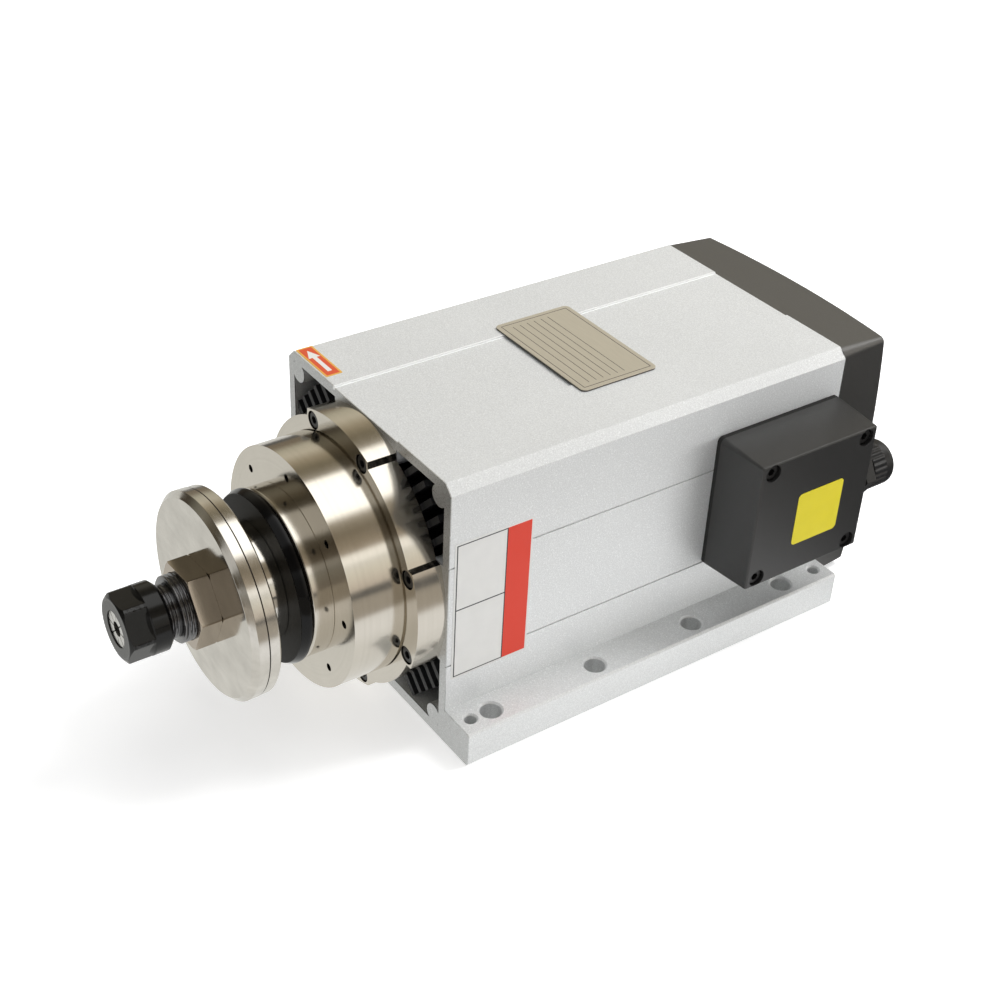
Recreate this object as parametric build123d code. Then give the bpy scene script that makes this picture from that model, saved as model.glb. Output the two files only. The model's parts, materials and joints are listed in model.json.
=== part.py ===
"""Air-cooled square motor spindle with a saw-flange arbor and a small collet nose.

The spindle axis lies along Y and the nose points to -Y. +Z is up and +X is the terminal-box side.
The origin is the centre of the foot bolt pattern on the mounting face. Lengths are millimetres.
Stations are measured along Y from the front end of the housing, so the nose has negative ones.
"""
from build123d import *
from math import cos, radians, sin, tan
import os

# Housing: one aluminium extrusion, a square tube with a foot along each side
HOUSING_LENGTH = 198.0
HOUSING_WIDTH = 120.0
FOOT_DROP = 2.0
WALL = 4.2
FLOOR = 5.0
CORNER_CHAMFER = 4.0
LOBE_RADIUS = 4.6
LOBE_INSET = 3.6
FOOT_REACH = 17.0
FOOT_THICKNESS = 16.0
FOOT_EDGE = 0.8
BAND_WIDTH = 47.0
BAND_DEPTH = 0.6
GROOVE_WIDTH = 0.8
GROOVE_DEPTH = 0.5

# Foot holes
FOOT_ROW_OFFSET = 9.0
FOOT_HOLE_PITCH = 52.0
FOOT_HOLE_FIRST = 16.0
FOOT_HOLE_DIAMETER = 9.0
FOOT_HOLE_CHAMFER = 0.75
FOOT_TAP_DIAMETER = 5.0
FOOT_TAP_INSET = 6.3

# Front bell: flange, barrel and register
FLANGE_INSET = 1.0
FLANGE_THICKNESS = 12.5
NOTCH_DEPTH = 2.8
SECTOR_HALF_ANGLE = 23.0
RELIEF_WIDTH = 0.8
RELIEF_DEPTH = 1.0
BARREL_END = 34.5
BARREL_CHAMFER = 0.6
REGISTER_LENGTH = 7.0
REGISTER_WALL = 6.0
FLANGE_SCREW_INSET = 5.7
FLANGE_SCREW_ANGLE = 19.5
GUARD_HOLE_CIRCLE = 84.0
GUARD_HOLE_COUNT = 8
GUARD_HOLE_DIAMETER = 3.3
GUARD_HOLE_DEPTH = 10.0

# Front cap and the dust ring in front of it
CAP_DIAMETER = 70.2
CAP_LENGTH = 9.1
CAP_CHAMFER = 1.0
CAP_BORE = 45.0
DUST_RING_DIAMETER = 71.6
DUST_RING_THICKNESS = 4.1
DUST_RING_BEVEL = 2.6
DUST_RING_GAP = 0.8
DUST_RING_FACE_CHAMFER = 1.2
DUST_HUB_DIAMETER = 44.0
DUST_HUB_STEP = 1.0
DUST_HUB_WALL = 3.0

# Saw flanges and the clamping nut
OUTER_FLANGE_DIAMETER = 85.0
OUTER_FLANGE_THICKNESS = 6.5
OUTER_FLANGE_CHAMFER = 2.3
INNER_FLANGE_INSET = 0.2
INNER_FLANGE_THICKNESS = 5.0
INNER_FLANGE_BEVEL = 0.8
FLANGE_HUB_DIAMETER = 49.0
FLANGE_HUB_LENGTH = 12.3
ARBOR_DIAMETER = 30.0
CLAMP_THREAD_DIAMETER = 27.0
CLAMP_THREAD_LENGTH = 14.0
ARBOR_STEP_INSET = 0.5
CLAMP_THREAD_CHAMFER = 0.6
NUT_WIDTH_ACROSS_FLATS = 31.0
NUT_THICKNESS = 8.9
NUT_TURN = 5.0
NUT_CHAMFER = 0.9

# Collet and collet nut
NOSE_THREAD_DIAMETER = 22.0
NOSE_RELIEF_DIAMETER = 20.2
NOSE_RELIEF_WIDTH = 1.2
NOSE_CHAMFER = 0.8
COLLET_NUT_DIAMETER = 28.0
COLLET_NUT_FLATS = 25.0
COLLET_NUT_LENGTH = 17.5
COLLET_NUT_COLLAR = 7.5
COLLET_NUT_GAP = 4.2
COLLET_NUT_FACE_DIAMETER = 24.4
COLLET_NUT_OPENING = 14.9
COLLET_NUT_FRONT_CHAMFER = 1.2
COLLET_NUT_BEVEL = 1.4
COLLET_DIAMETER = 17.0
COLLET_LENGTH = 27.5
COLLET_RECESS = 0.5
COLLET_BORE = 6.0
COLLET_HALF_ANGLE = 8.0
COLLET_FACE_DIAMETER = 14.6
COLLET_CONE_LENGTH = 2.3
COLLET_RIM_WIDTH = 1.1
COLLET_GROOVE_WIDTH = 1.7
COLLET_GROOVE_DEPTH = 1.0
NOSE_SETBACK = 0.9
COLLET_SOCKET_GAP = 0.6
COLLET_SOCKET_RUNOUT = 8.0
COLLET_FRONT_SLOT_END = 5.0
COLLET_REAR_SLOT_START = 3.0
COLLET_SLOT_WIDTH = 0.5
COLLET_SLOT_COUNT = 8

# Bearings: two at the front and one at the rear
FRONT_BEARING_OUTER = 62.0
FRONT_BEARING_BORE = 35.0
FRONT_BEARING_WIDTH = 14.0
FRONT_BALL = 8.6
FRONT_BALL_COUNT = 12
REAR_BEARING_OUTER = 52.0
REAR_BEARING_BORE = 25.0
REAR_BEARING_WIDTH = 15.0
REAR_BALL = 7.9
REAR_BALL_COUNT = 9
RACE_LAND = 2.6
BEARING_SHOULDER = 4.0
CAGE_THICKNESS = 2.4
CAGE_SIDE = 1.2

# Motor
CASING_LENGTH = 179.0
CASING_WALL = 5.5
CASING_STEP = 1.7
CASING_SETBACK = 1.0
CASING_PAD_WIDTH = 22.0
FIN_THICKNESS = 2.6
FIN_PITCH = 7.0
FIN_SIDE_COUNT = 2
FIN_REACH = 65.0
FIN_GAP = 0.6
FIN_ROOT = 4.0
STATOR_BACK = 17.0
STATOR_SLOT_COUNT = 18
STATOR_SLOT_WIDTH = 4.0
STATOR_SLOT_DEPTH = 10.0
CORE_START = 45.0
CORE_LENGTH = 100.0
WINDING_LENGTH = 25.0
WINDING_GAP = 2.0
WINDING_ROTOR_GAP = 3.0
AIR_GAP = 0.4
ROTOR_DEPTH = 6.0
COLLAR_LENGTH = 9.0
REAR_SHOULDER = 3.0
ROTOR_RING_LENGTH = 8.0
ROTOR_RING_INSET = 1.5

# Rear bell, fan and fan cover
REAR_BELL_THICKNESS = 6.0
REAR_BELL_EAR_WIDTH = 18.0
REAR_BELL_EAR_GAP = 0.8
REAR_BELL_HUB_WALL = 5.0
REAR_BELL_LIP = 2.0
REAR_BELL_SHOULDER = 6.0
REAR_BELL_SCREW_INSET = 4.8
SPRING_THICKNESS = 1.5
SPRING_WIDTH = 5.0
SPRING_GAP = 0.5
CIRCLIP_THICKNESS = 1.5
CIRCLIP_WIDTH = 2.5
FAN_SHAFT_DIAMETER = 14.0
FAN_DIAMETER = 92.0
FAN_WIDTH = 14.0
FAN_GAP = 4.0
FAN_BLADE_COUNT = 9
FAN_BLADE_THICKNESS = 2.0
FAN_PLATE = 2.4
FAN_HUB_DIAMETER = 28.0
FAN_HUB_STEP = 1.0
FAN_WASHER_DIAMETER = 22.0
FAN_WASHER_THICKNESS = 1.2
COVER_INSET = 0.6
COVER_DEPTH = 33.0
COVER_DRAFT = 4.0
COVER_WALL = 2.6
COVER_CORNER = 4.0
COVER_INNER_CORNER = 2.7
COVER_DOME_RADIUS = 430.0
COVER_POST_RADIUS = 5.2
COVER_SCREW_DEPTH = 16.5
GRILLE_DIAMETER = 92.0
GRILLE_SLOT = 4.4
GRILLE_PITCH = 8.0

# Terminal box on the +X side
BOX_CENTRE_STATION = 163.3
BOX_CENTRE_HEIGHT = 7.8
BOX_LENGTH = 67.0
BOX_HEIGHT = 63.5
BOX_DEPTH = 24.0
BOX_DRAFT = 4.0
BOX_WALL = 2.6
BOX_EDGE_RADIUS = 1.0
BOX_WELL_DEPTH = 5.4
BOX_CORNER = 2.5
BOX_INNER_CORNER = 2.0
BOX_SCREW_SPACING = 52.0
BOX_POST_RADIUS = 4.8
GASKET_THICKNESS = 2.0
GASKET_RIM = 7.8
WIRE_HOLE_DIAMETER = 14.0
TERMINAL_BLOCK_LENGTH = 34.0
TERMINAL_BLOCK_HEIGHT = 16.0
TERMINAL_BLOCK_DEPTH = 11.0
TERMINAL_BLOCK_GAP = 1.0
TERMINAL_COUNT = 4
TERMINAL_WELL_DIAMETER = 5.2
TERMINAL_WELL_DEPTH = 4.0
TERMINAL_SCREW_HEIGHT = 3.0
TERMINAL_SLOT_WIDTH = 0.8
TERMINAL_SLOT_DEPTH = 1.0

# Cable gland on the rear wall of the box
GLAND_HEIGHT_IN_BOX = 11.8
GLAND_THREAD_DIAMETER = 16.0
GLAND_FLATS = 20.0
GLAND_HEX_LENGTH = 5.5
GLAND_DOME_DIAMETER = 20.4
GLAND_DOME_LENGTH = 13.5
GLAND_CABLE_HOLE = 7.0
GLAND_SEAL_DIAMETER = 13.0
GLAND_LOCKNUT_THICKNESS = 3.5
GLAND_LOCKNUT_FLATS = 18.6
GLAND_INSIDE = 6.0
GLAND_STEM_OUTSIDE = 5.0
GLAND_DOME_RADIUS = 4.0
GLAND_NUT_LIP = 2.0
GLAND_NUT_GAP = 0.4

# Nameplate on the top face
PLATE_LENGTH = 38.0
PLATE_WIDTH = 62.0
PLATE_THICKNESS = 0.8
PLATE_CORNER = 2.5
PLATE_STATION = 100.5

# Socket-head screws: M4 everywhere
SCREW_DIAMETER = 4.0
SCREW_HEAD_DIAMETER = 7.0
SCREW_HEAD_HEIGHT = 4.0
SCREW_HEAD_CHAMFER = 0.4
SCREW_SOCKET = 3.0
SCREW_GRIP = 12.0
TAP_RUNOUT = 4.0
SCREW_END_GAP = 1.0
COUNTERBORE_DIAMETER = 7.8
COUNTERBORE_DEPTH = 4.4

# Clearances
BARREL_SCREW_GAP = 0.4
CASING_BOSS_GAP = 3.2
SCREW_CLEARANCE = 0.1
RUNNING_FIT = 0.05
BALL_CLEARANCE = 0.05

# Stations that follow from the sizes above
HOUSING_FRONT_Y = -(FOOT_HOLE_FIRST + 1.5 * FOOT_HOLE_PITCH)
CAP_FRONT = -BARREL_END - CAP_LENGTH
DUST_RING_REAR = CAP_FRONT - DUST_RING_GAP
DUST_RING_FRONT = DUST_RING_REAR - DUST_RING_THICKNESS
INNER_FLANGE_REAR = DUST_RING_FRONT - FLANGE_HUB_LENGTH
INNER_FLANGE_FRONT = INNER_FLANGE_REAR - INNER_FLANGE_THICKNESS
OUTER_FLANGE_FRONT = INNER_FLANGE_FRONT - OUTER_FLANGE_THICKNESS
ARBOR_FRONT = OUTER_FLANGE_FRONT + ARBOR_STEP_INSET
CLAMP_NUT_FRONT = OUTER_FLANGE_FRONT - NUT_THICKNESS
CLAMP_THREAD_FRONT = ARBOR_FRONT - CLAMP_THREAD_LENGTH
COLLET_NUT_REAR = CLAMP_THREAD_FRONT - COLLET_NUT_GAP
COLLET_NUT_FRONT = COLLET_NUT_REAR - COLLET_NUT_LENGTH
COLLET_FRONT = COLLET_NUT_FRONT + COLLET_RECESS
COLLET_REAR = COLLET_FRONT + COLLET_LENGTH
COLLET_RIM = COLLET_FRONT + COLLET_CONE_LENGTH
COLLET_GROOVE = COLLET_RIM + COLLET_RIM_WIDTH
COLLET_TAPER_START = COLLET_GROOVE + COLLET_GROOVE_WIDTH
NOSE_FACE = COLLET_TAPER_START + NOSE_SETBACK
FRONT_BEARINGS_END = -3.0
FRONT_BEARINGS_START = FRONT_BEARINGS_END - 2 * FRONT_BEARING_WIDTH
CORE_END = CORE_START + CORE_LENGTH
CASING_END = CASING_SETBACK + CASING_LENGTH
REAR_BEARING_START = CASING_END - REAR_BELL_THICKNESS
REAR_BEARING_END = REAR_BEARING_START + REAR_BEARING_WIDTH
REAR_BELL_HUB_START = REAR_BEARING_START - REAR_BELL_LIP
REAR_BELL_HUB_END = REAR_BEARING_END + SPRING_THICKNESS + REAR_BELL_LIP
FAN_START = REAR_BELL_HUB_END + FAN_GAP
FAN_END = FAN_START + FAN_WIDTH
COVER_START = HOUSING_LENGTH
COVER_END = HOUSING_LENGTH + COVER_DEPTH
COVER_SCREW_SEAT = COVER_START + COVER_DEPTH - COVER_SCREW_DEPTH
GRILLE_CUT_START = COVER_END - 3 * COVER_WALL

# Cross-section values that follow, measured from the spindle axis
HALF_WIDTH = HOUSING_WIDTH / 2
AXIS_TO_TOP = HALF_WIDTH
SHAFT_HEIGHT = AXIS_TO_TOP + FOOT_DROP
FOOT_ROW_SPACING = HOUSING_WIDTH + 2 * FOOT_ROW_OFFSET
FLANGE_DIAMETER = HOUSING_WIDTH - 2 * FLANGE_INSET
NOTCH_DIAMETER = FLANGE_DIAMETER - 2 * NOTCH_DEPTH
FLANGE_SCREW_CIRCLE = HOUSING_WIDTH - 2 * FLANGE_SCREW_INSET
BARREL_DIAMETER = FLANGE_SCREW_CIRCLE - COUNTERBORE_DIAMETER - 2 * BARREL_SCREW_GAP
CASING_DIAMETER = FLANGE_SCREW_CIRCLE - 2 * LOBE_RADIUS - 2 * CASING_BOSS_GAP
REGISTER_DIAMETER = CASING_DIAMETER - 2 * CASING_STEP
STATOR_DIAMETER = CASING_DIAMETER - 2 * CASING_WALL
STATOR_BORE = STATOR_DIAMETER - 2 * STATOR_BACK
ROTOR_SHAFT_DIAMETER = STATOR_BORE - 2 * ROTOR_DEPTH
ROTOR_RING_OUTER = STATOR_BORE - 2 * ROTOR_RING_INSET
WINDING_OUTER = STATOR_DIAMETER - 2 * WINDING_GAP
WINDING_INNER = STATOR_BORE + 2 * WINDING_ROTOR_GAP
INNER_FLANGE_DIAMETER = OUTER_FLANGE_DIAMETER - 2 * INNER_FLANGE_INSET
CAVITY_HALF_WIDTH = HALF_WIDTH - WALL
CAVITY_TOP = AXIS_TO_TOP - WALL
CAVITY_BOTTOM = SHAFT_HEIGHT - FLOOR
LOBE_X = CAVITY_HALF_WIDTH - LOBE_INSET
LOBE_TOP = CAVITY_TOP - LOBE_INSET
LOBE_BOTTOM = CAVITY_BOTTOM - LOBE_INSET
BOX_FACE_X = HALF_WIDTH + GASKET_THICKNESS + BOX_DEPTH
GLAND_X = HALF_WIDTH + GASKET_THICKNESS + GLAND_HEIGHT_IN_BOX
GLAND_RISE = GLAND_HEIGHT_IN_BOX * tan(radians(BOX_DRAFT))
GLAND_LEAN = GLAND_FLATS / 2 / cos(radians(30)) * tan(radians(BOX_DRAFT))
GLAND_WALL = BOX_CENTRE_STATION + BOX_LENGTH / 2 - GLAND_RISE
GLAND_SEAT = GLAND_WALL + GLAND_LEAN
GLAND_NUT_START = GLAND_SEAT + GLAND_HEX_LENGTH + GLAND_NUT_GAP
GLAND_LOCKNUT_END = GLAND_WALL - BOX_WALL - GLAND_LEAN
TERMINAL_BLOCK_MIDDLE = (BOX_CENTRE_HEIGHT - BOX_HEIGHT / 2 + GASKET_RIM + TERMINAL_BLOCK_GAP
                         + TERMINAL_BLOCK_HEIGHT / 2)

TURNING_PLANE = Plane(origin=(0, HOUSING_FRONT_Y, SHAFT_HEIGHT), x_dir=(0, 1, 0), z_dir=(1, 0, 0))
SPINDLE_AXIS = Axis((0, HOUSING_FRONT_Y, SHAFT_HEIGHT), (0, 1, 0))


def turned(*outline):
    """Solid of revolution about the spindle axis from (station, radius) points."""
    profile = make_face(Polyline(*outline, close=True))
    return revolve(TURNING_PLANE * profile, SPINDLE_AXIS)


def ring(start, end, outer, inner):
    """Plain ring between two stations, by its diameters."""
    return turned((start, inner / 2), (end, inner / 2), (end, outer / 2), (start, outer / 2))


def front_plane(station):
    """Plane across the axis that faces the nose, with local x to +X and local y up."""
    return Plane(origin=(0, HOUSING_FRONT_Y + station, SHAFT_HEIGHT), x_dir=(1, 0, 0), z_dir=(0, -1, 0))


def rear_plane(station):
    """Plane across the axis that faces the rear, with local x to -X and local y up."""
    return Plane(origin=(0, HOUSING_FRONT_Y + station, SHAFT_HEIGHT), x_dir=(-1, 0, 0), z_dir=(0, 1, 0))


def side_plane(x):
    """Plane that faces +X, with local x along the stations and local y up from the axis."""
    return Plane(origin=(x, HOUSING_FRONT_Y, SHAFT_HEIGHT), x_dir=(0, 1, 0), z_dir=(1, 0, 0))


def lengthwise(section, start, end):
    """Extrude a cross-section from one station to another."""
    return extrude(front_plane(end) * section, end - start)


def polar(radius, degrees):
    """Point at a radius and an angle from +X towards +Z."""
    return (radius * cos(radians(degrees)), radius * sin(radians(degrees)))


def around(section, radius, count, first=0.0):
    """Copies of a section spaced evenly on a circle about the axis, each turned with its angle."""
    copies = Sketch()
    for index in range(count):
        angle = first + 360 * index / count
        copies += Rot(0, 0, angle) * Pos(radius, 0) * section
    return copies


def hexagon(across_flats):
    """Hexagon with two corners on the local x axis."""
    return RegularPolygon(across_flats / 2 / cos(radians(30)), 6)


def cap_screw(length):
    """Socket-head screw along local z, its head above the origin and its shank below."""
    head = extrude(Circle(SCREW_HEAD_DIAMETER / 2), SCREW_HEAD_HEIGHT)
    head = chamfer(head.edges().group_by(Axis.Z)[-1], SCREW_HEAD_CHAMFER)
    shank = extrude(Circle(SCREW_DIAMETER / 2 - SCREW_CLEARANCE), -length)
    socket = extrude(Pos(0, 0, SCREW_HEAD_HEIGHT) * hexagon(SCREW_SOCKET), -SCREW_HEAD_HEIGHT / 2)
    return head + shank - socket


def flange_screw_points():
    """The eight flange screws, two on each side of the square, near the ends of the sectors."""
    points = []
    for side in range(4):
        for offset in (-FLANGE_SCREW_ANGLE, FLANGE_SCREW_ANGLE):
            points.append(polar(FLANGE_SCREW_CIRCLE / 2, 90 * side + offset))
    return points


def rear_bell_screw_points():
    """Centres of the four rear-bell screws, each a fixed distance inside the wall it is nearest to."""
    side = CAVITY_HALF_WIDTH - REAR_BELL_SCREW_INSET
    top = CAVITY_TOP - REAR_BELL_SCREW_INSET
    bottom = CAVITY_BOTTOM - REAR_BELL_SCREW_INSET
    return [(side, 0), (0, top), (-side, 0), (0, -bottom)]


def lobe_points():
    """Centres of the four corner lobes of the extrusion."""
    return [(LOBE_X, LOBE_TOP), (-LOBE_X, LOBE_TOP), (-LOBE_X, -LOBE_BOTTOM), (LOBE_X, -LOBE_BOTTOM)]


def foot_hole_points():
    """Places of the eight through holes in the feet, as (x, y) on the mounting face."""
    points = []
    for x in (-FOOT_ROW_SPACING / 2, FOOT_ROW_SPACING / 2):
        for step in range(4):
            points.append((x, (step - 1.5) * FOOT_HOLE_PITCH))
    return points


def foot_tap_points():
    """Places of the four small tapped holes near the ends of the feet."""
    front = HOUSING_FRONT_Y + FOOT_TAP_INSET
    rear = HOUSING_FRONT_Y + HOUSING_LENGTH - FOOT_TAP_INSET
    return [(x, y) for x in (-FOOT_ROW_SPACING / 2, FOOT_ROW_SPACING / 2) for y in (front, rear)]


def housing_section():
    """Cross-section of the extrusion about the spindle axis."""
    middle = (AXIS_TO_TOP - SHAFT_HEIGHT) / 2
    tube = Pos(0, middle) * Rectangle(HOUSING_WIDTH, AXIS_TO_TOP + SHAFT_HEIGHT)
    tube = chamfer(tube.vertices().group_by(Axis.Y)[-1], CORNER_CHAMFER)
    foot_middle = FOOT_THICKNESS / 2 - SHAFT_HEIGHT
    feet = Pos(0, foot_middle) * Rectangle(HOUSING_WIDTH + 2 * FOOT_REACH, FOOT_THICKNESS)
    feet = chamfer(feet.vertices(), FOOT_EDGE)
    cavity_middle = (CAVITY_TOP - CAVITY_BOTTOM) / 2
    cavity = Pos(0, cavity_middle) * Rectangle(2 * CAVITY_HALF_WIDTH, CAVITY_TOP + CAVITY_BOTTOM)
    section = tube + feet - cavity
    for x, z in lobe_points():
        section += Pos(x, z) * Circle(LOBE_RADIUS)
    for x, z in flange_screw_points():
        section += Pos(x, z) * Circle(LOBE_RADIUS) + boss_web(x, z)
    section -= Pos(0, AXIS_TO_TOP) * Rectangle(BAND_WIDTH, 2 * BAND_DEPTH)
    for x in (-HALF_WIDTH, HALF_WIDTH):
        for z in (-BAND_WIDTH / 2, BAND_WIDTH / 2):
            section -= Pos(x, z) * Rectangle(2 * GROOVE_DEPTH, GROOVE_WIDTH)
    return section


def boss_web(x, z):
    """Short web that joins a screw boss to the wall beside it."""
    if abs(x) > abs(z):
        length = CAVITY_HALF_WIDTH - abs(x)
        return Pos(x + length / 2 * (1 if x > 0 else -1), z) * Rectangle(length, 2 * LOBE_RADIUS)
    wall = CAVITY_TOP if z > 0 else CAVITY_BOTTOM
    length = wall - abs(z)
    return Pos(x, z + length / 2 * (1 if z > 0 else -1)) * Rectangle(2 * LOBE_RADIUS, length)


def foot_hole(x, y, diameter):
    """Cutter for one foot hole with a chamfer at its top mouth."""
    radius = diameter / 2
    mouth = radius + FOOT_HOLE_CHAMFER
    drill = Pos(x, y, FOOT_THICKNESS / 2) * Cylinder(radius, 2 * FOOT_THICKNESS)
    top = Pos(x, y, FOOT_THICKNESS - FOOT_HOLE_CHAMFER / 2) * Cone(radius, mouth, FOOT_HOLE_CHAMFER)
    return drill + top


def box_screw_points():
    """Centres of the four terminal-box screws, as (station, height above the axis)."""
    half = BOX_SCREW_SPACING / 2
    corners = [(-half, -half), (-half, half), (half, -half), (half, half)]
    return [(BOX_CENTRE_STATION + a, BOX_CENTRE_HEIGHT + b) for a, b in corners]


def make_housing():
    """Extruded housing with its machined holes."""
    housing = lengthwise(housing_section(), 0, HOUSING_LENGTH)
    for x, y in foot_hole_points():
        housing -= foot_hole(x, y, FOOT_HOLE_DIAMETER)
    for x, y in foot_tap_points():
        housing -= foot_hole(x, y, FOOT_TAP_DIAMETER)
    for x, z in flange_screw_points():
        housing -= lengthwise(Pos(x, z) * Circle(SCREW_DIAMETER / 2), 0, SCREW_GRIP + TAP_RUNOUT)
    for x, z in lobe_points():
        tap = Pos(x, z) * Circle(SCREW_DIAMETER / 2)
        housing -= lengthwise(tap, HOUSING_LENGTH - SCREW_GRIP - TAP_RUNOUT, HOUSING_LENGTH)
    outside = side_plane(HALF_WIDTH)
    for station, height in box_screw_points():
        housing -= extrude(outside * Pos(station, height) * Circle(SCREW_DIAMETER / 2), -WALL)
    wires = Pos(BOX_CENTRE_STATION, BOX_CENTRE_HEIGHT) * Circle(WIRE_HOLE_DIAMETER / 2)
    return housing - extrude(outside * wires, -WALL)


def make_stator_casing():
    """Finned casing: a tube with four pads on the walls and diagonal fins in the corners."""
    section = Circle(CASING_DIAMETER / 2)
    pad_width = Rectangle(2 * CAVITY_HALF_WIDTH, CASING_PAD_WIDTH)
    pad_height = CAVITY_TOP + CAVITY_BOTTOM
    pad_middle = (CAVITY_TOP - CAVITY_BOTTOM) / 2
    section += pad_width + Pos(0, pad_middle) * Rectangle(CASING_PAD_WIDTH, pad_height)
    root = CASING_DIAMETER / 2 - FIN_ROOT
    fin = Rectangle(FIN_REACH - root, FIN_THICKNESS)
    room = Pos(0, pad_middle) * Rectangle(2 * (CAVITY_HALF_WIDTH - FIN_GAP), pad_height - 2 * FIN_GAP)
    for corner in range(4):
        for step in range(-FIN_SIDE_COUNT, FIN_SIDE_COUNT + 1):
            place = Rot(0, 0, 45 + 90 * corner) * Pos((FIN_REACH + root) / 2, step * FIN_PITCH)
            section += (place * fin) & room
    casing = lengthwise(section, CASING_SETBACK, CASING_END)
    register = ring(CASING_SETBACK, CORE_START - WINDING_LENGTH, REGISTER_DIAMETER, 0)
    bore = ring(CASING_SETBACK, CASING_END, STATOR_DIAMETER, 0)
    casing = casing - register - bore
    for x, z in rear_bell_screw_points():
        tap = Pos(x, z) * Circle(SCREW_DIAMETER / 2)
        casing -= lengthwise(tap, CASING_END - SCREW_GRIP, CASING_END)
    return casing


def make_stator_core():
    """Stator stack with open slots towards the rotor."""
    slot = Rectangle(2 * STATOR_SLOT_DEPTH, STATOR_SLOT_WIDTH)
    section = Circle(STATOR_DIAMETER / 2) - Circle(STATOR_BORE / 2)
    section -= around(slot, STATOR_BORE / 2, STATOR_SLOT_COUNT)
    return lengthwise(section, CORE_START, CORE_END)


def make_winding(start, end):
    """End winding: a thick ring with rounded shoulders away from the core."""
    outer = WINDING_OUTER / 2
    inner = WINDING_INNER / 2
    round_off = (outer - inner) / 3
    return turned((start, inner + round_off), (start + round_off, inner), (end - round_off, inner),
                  (end, inner + round_off), (end, outer - round_off), (end - round_off, outer),
                  (start + round_off, outer), (start, outer - round_off))


def flange_notches():
    """Four corner steps where the flange is turned down to open the air outlets."""
    reach = FLANGE_DIAMETER
    band = Circle(reach) - Circle(NOTCH_DIAMETER / 2)
    wedges = Sketch()
    for corner in range(4):
        first = polar(2 * reach, 90 * corner + SECTOR_HALF_ANGLE)
        last = polar(2 * reach, 90 * corner + 90 - SECTOR_HALF_ANGLE)
        wedges += make_face(Polyline((0, 0), first, last, close=True))
    return lengthwise(band & wedges, -FLANGE_THICKNESS, 0)


def make_front_bell():
    """Front bell: bolted flange, turned barrel that holds the bearing pair, rear register."""
    barrel = BARREL_DIAMETER / 2
    flange = FLANGE_DIAMETER / 2
    relief = barrel - RELIEF_DEPTH
    relief_front = -FLANGE_THICKNESS - RELIEF_WIDTH
    bell = turned(
        (-BARREL_END, 0), (-BARREL_END, barrel - BARREL_CHAMFER), (BARREL_CHAMFER - BARREL_END, barrel),
        (relief_front - BARREL_CHAMFER, barrel), (relief_front, barrel - BARREL_CHAMFER),
        (relief_front, relief), (-FLANGE_THICKNESS, relief), (-FLANGE_THICKNESS, flange - BARREL_CHAMFER),
        (BARREL_CHAMFER - FLANGE_THICKNESS, flange), (0, flange), (0, REGISTER_DIAMETER / 2),
        (REGISTER_LENGTH, REGISTER_DIAMETER / 2), (REGISTER_LENGTH, 0))
    bell -= flange_notches()
    bell -= ring(-BARREL_END, FRONT_BEARINGS_END, FRONT_BEARING_OUTER, 0)
    bell -= ring(FRONT_BEARINGS_END, 0, FRONT_BEARING_OUTER - 2 * BEARING_SHOULDER, 0)
    bell -= ring(0, REGISTER_LENGTH, REGISTER_DIAMETER - 2 * REGISTER_WALL, 0)
    for x, z in flange_screw_points():
        bell -= lengthwise(Pos(x, z) * Circle(SCREW_DIAMETER / 2 + SCREW_CLEARANCE), -FLANGE_THICKNESS, 0)
        bell -= lengthwise(Pos(x, z) * Circle(COUNTERBORE_DIAMETER / 2),
                           -FLANGE_THICKNESS, COUNTERBORE_DEPTH - FLANGE_THICKNESS)
    taps = around(Circle(GUARD_HOLE_DIAMETER / 2), GUARD_HOLE_CIRCLE / 2, GUARD_HOLE_COUNT)
    return bell - lengthwise(taps, -BARREL_END, GUARD_HOLE_DEPTH - BARREL_END)


def make_front_cap():
    """Turned cap screwed into the barrel; it holds the bearing pair and hides the labyrinth."""
    outer = CAP_DIAMETER / 2
    bore = CAP_BORE / 2
    spigot = FRONT_BEARING_OUTER / 2
    lip = spigot - BEARING_SHOULDER
    return turned((CAP_FRONT, bore), (CAP_FRONT, outer - CAP_CHAMFER), (CAP_FRONT + CAP_CHAMFER, outer),
                  (-BARREL_END, outer), (-BARREL_END, spigot), (FRONT_BEARINGS_START, spigot),
                  (FRONT_BEARINGS_START, lip), (-BARREL_END, bore))


def make_flange_screws():
    """Eight socket-head screws that hold the front bell to the housing."""
    seat = front_plane(COUNTERBORE_DEPTH - FLANGE_THICKNESS)
    length = FLANGE_THICKNESS - COUNTERBORE_DEPTH + SCREW_GRIP
    return Compound([seat * Pos(x, z, 0) * cap_screw(length) for x, z in flange_screw_points()])


def make_outer_race(start, outer, bore, width, ball):
    """Outer bearing ring with its ball groove."""
    pitch = (outer + bore) / 4
    land = outer - 2 * (outer / 2 - pitch - ball / 2 + RACE_LAND)
    race = ring(start, start + width, outer, land)
    return race - groove(start + width / 2, pitch, ball)


def make_inner_race(start, outer, bore, width, ball):
    """Inner bearing ring with its ball groove."""
    pitch = (outer + bore) / 4
    land = bore + 2 * (pitch - bore / 2 - ball / 2 + RACE_LAND)
    race = ring(start, start + width, land, bore)
    return race - groove(start + width / 2, pitch, ball)


def groove(station, pitch, ball):
    """Round groove that the balls run in."""
    circle = Pos(station, pitch) * Circle(ball / 2 + BALL_CLEARANCE)
    return revolve(TURNING_PLANE * circle, SPINDLE_AXIS)


def ball_places(start, outer, bore, width, count):
    """Local frames at the ball centres of one bearing, with local z away from the axis."""
    pitch = (outer + bore) / 4
    middle = front_plane(start + width / 2)
    places = []
    for index in range(count):
        turn = Rot(0, 0, 360 * (index + 0.5) / count)
        places.append(middle * turn * Pos(pitch, 0, 0) * Rot(0, 90, 0))
    return places


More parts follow.
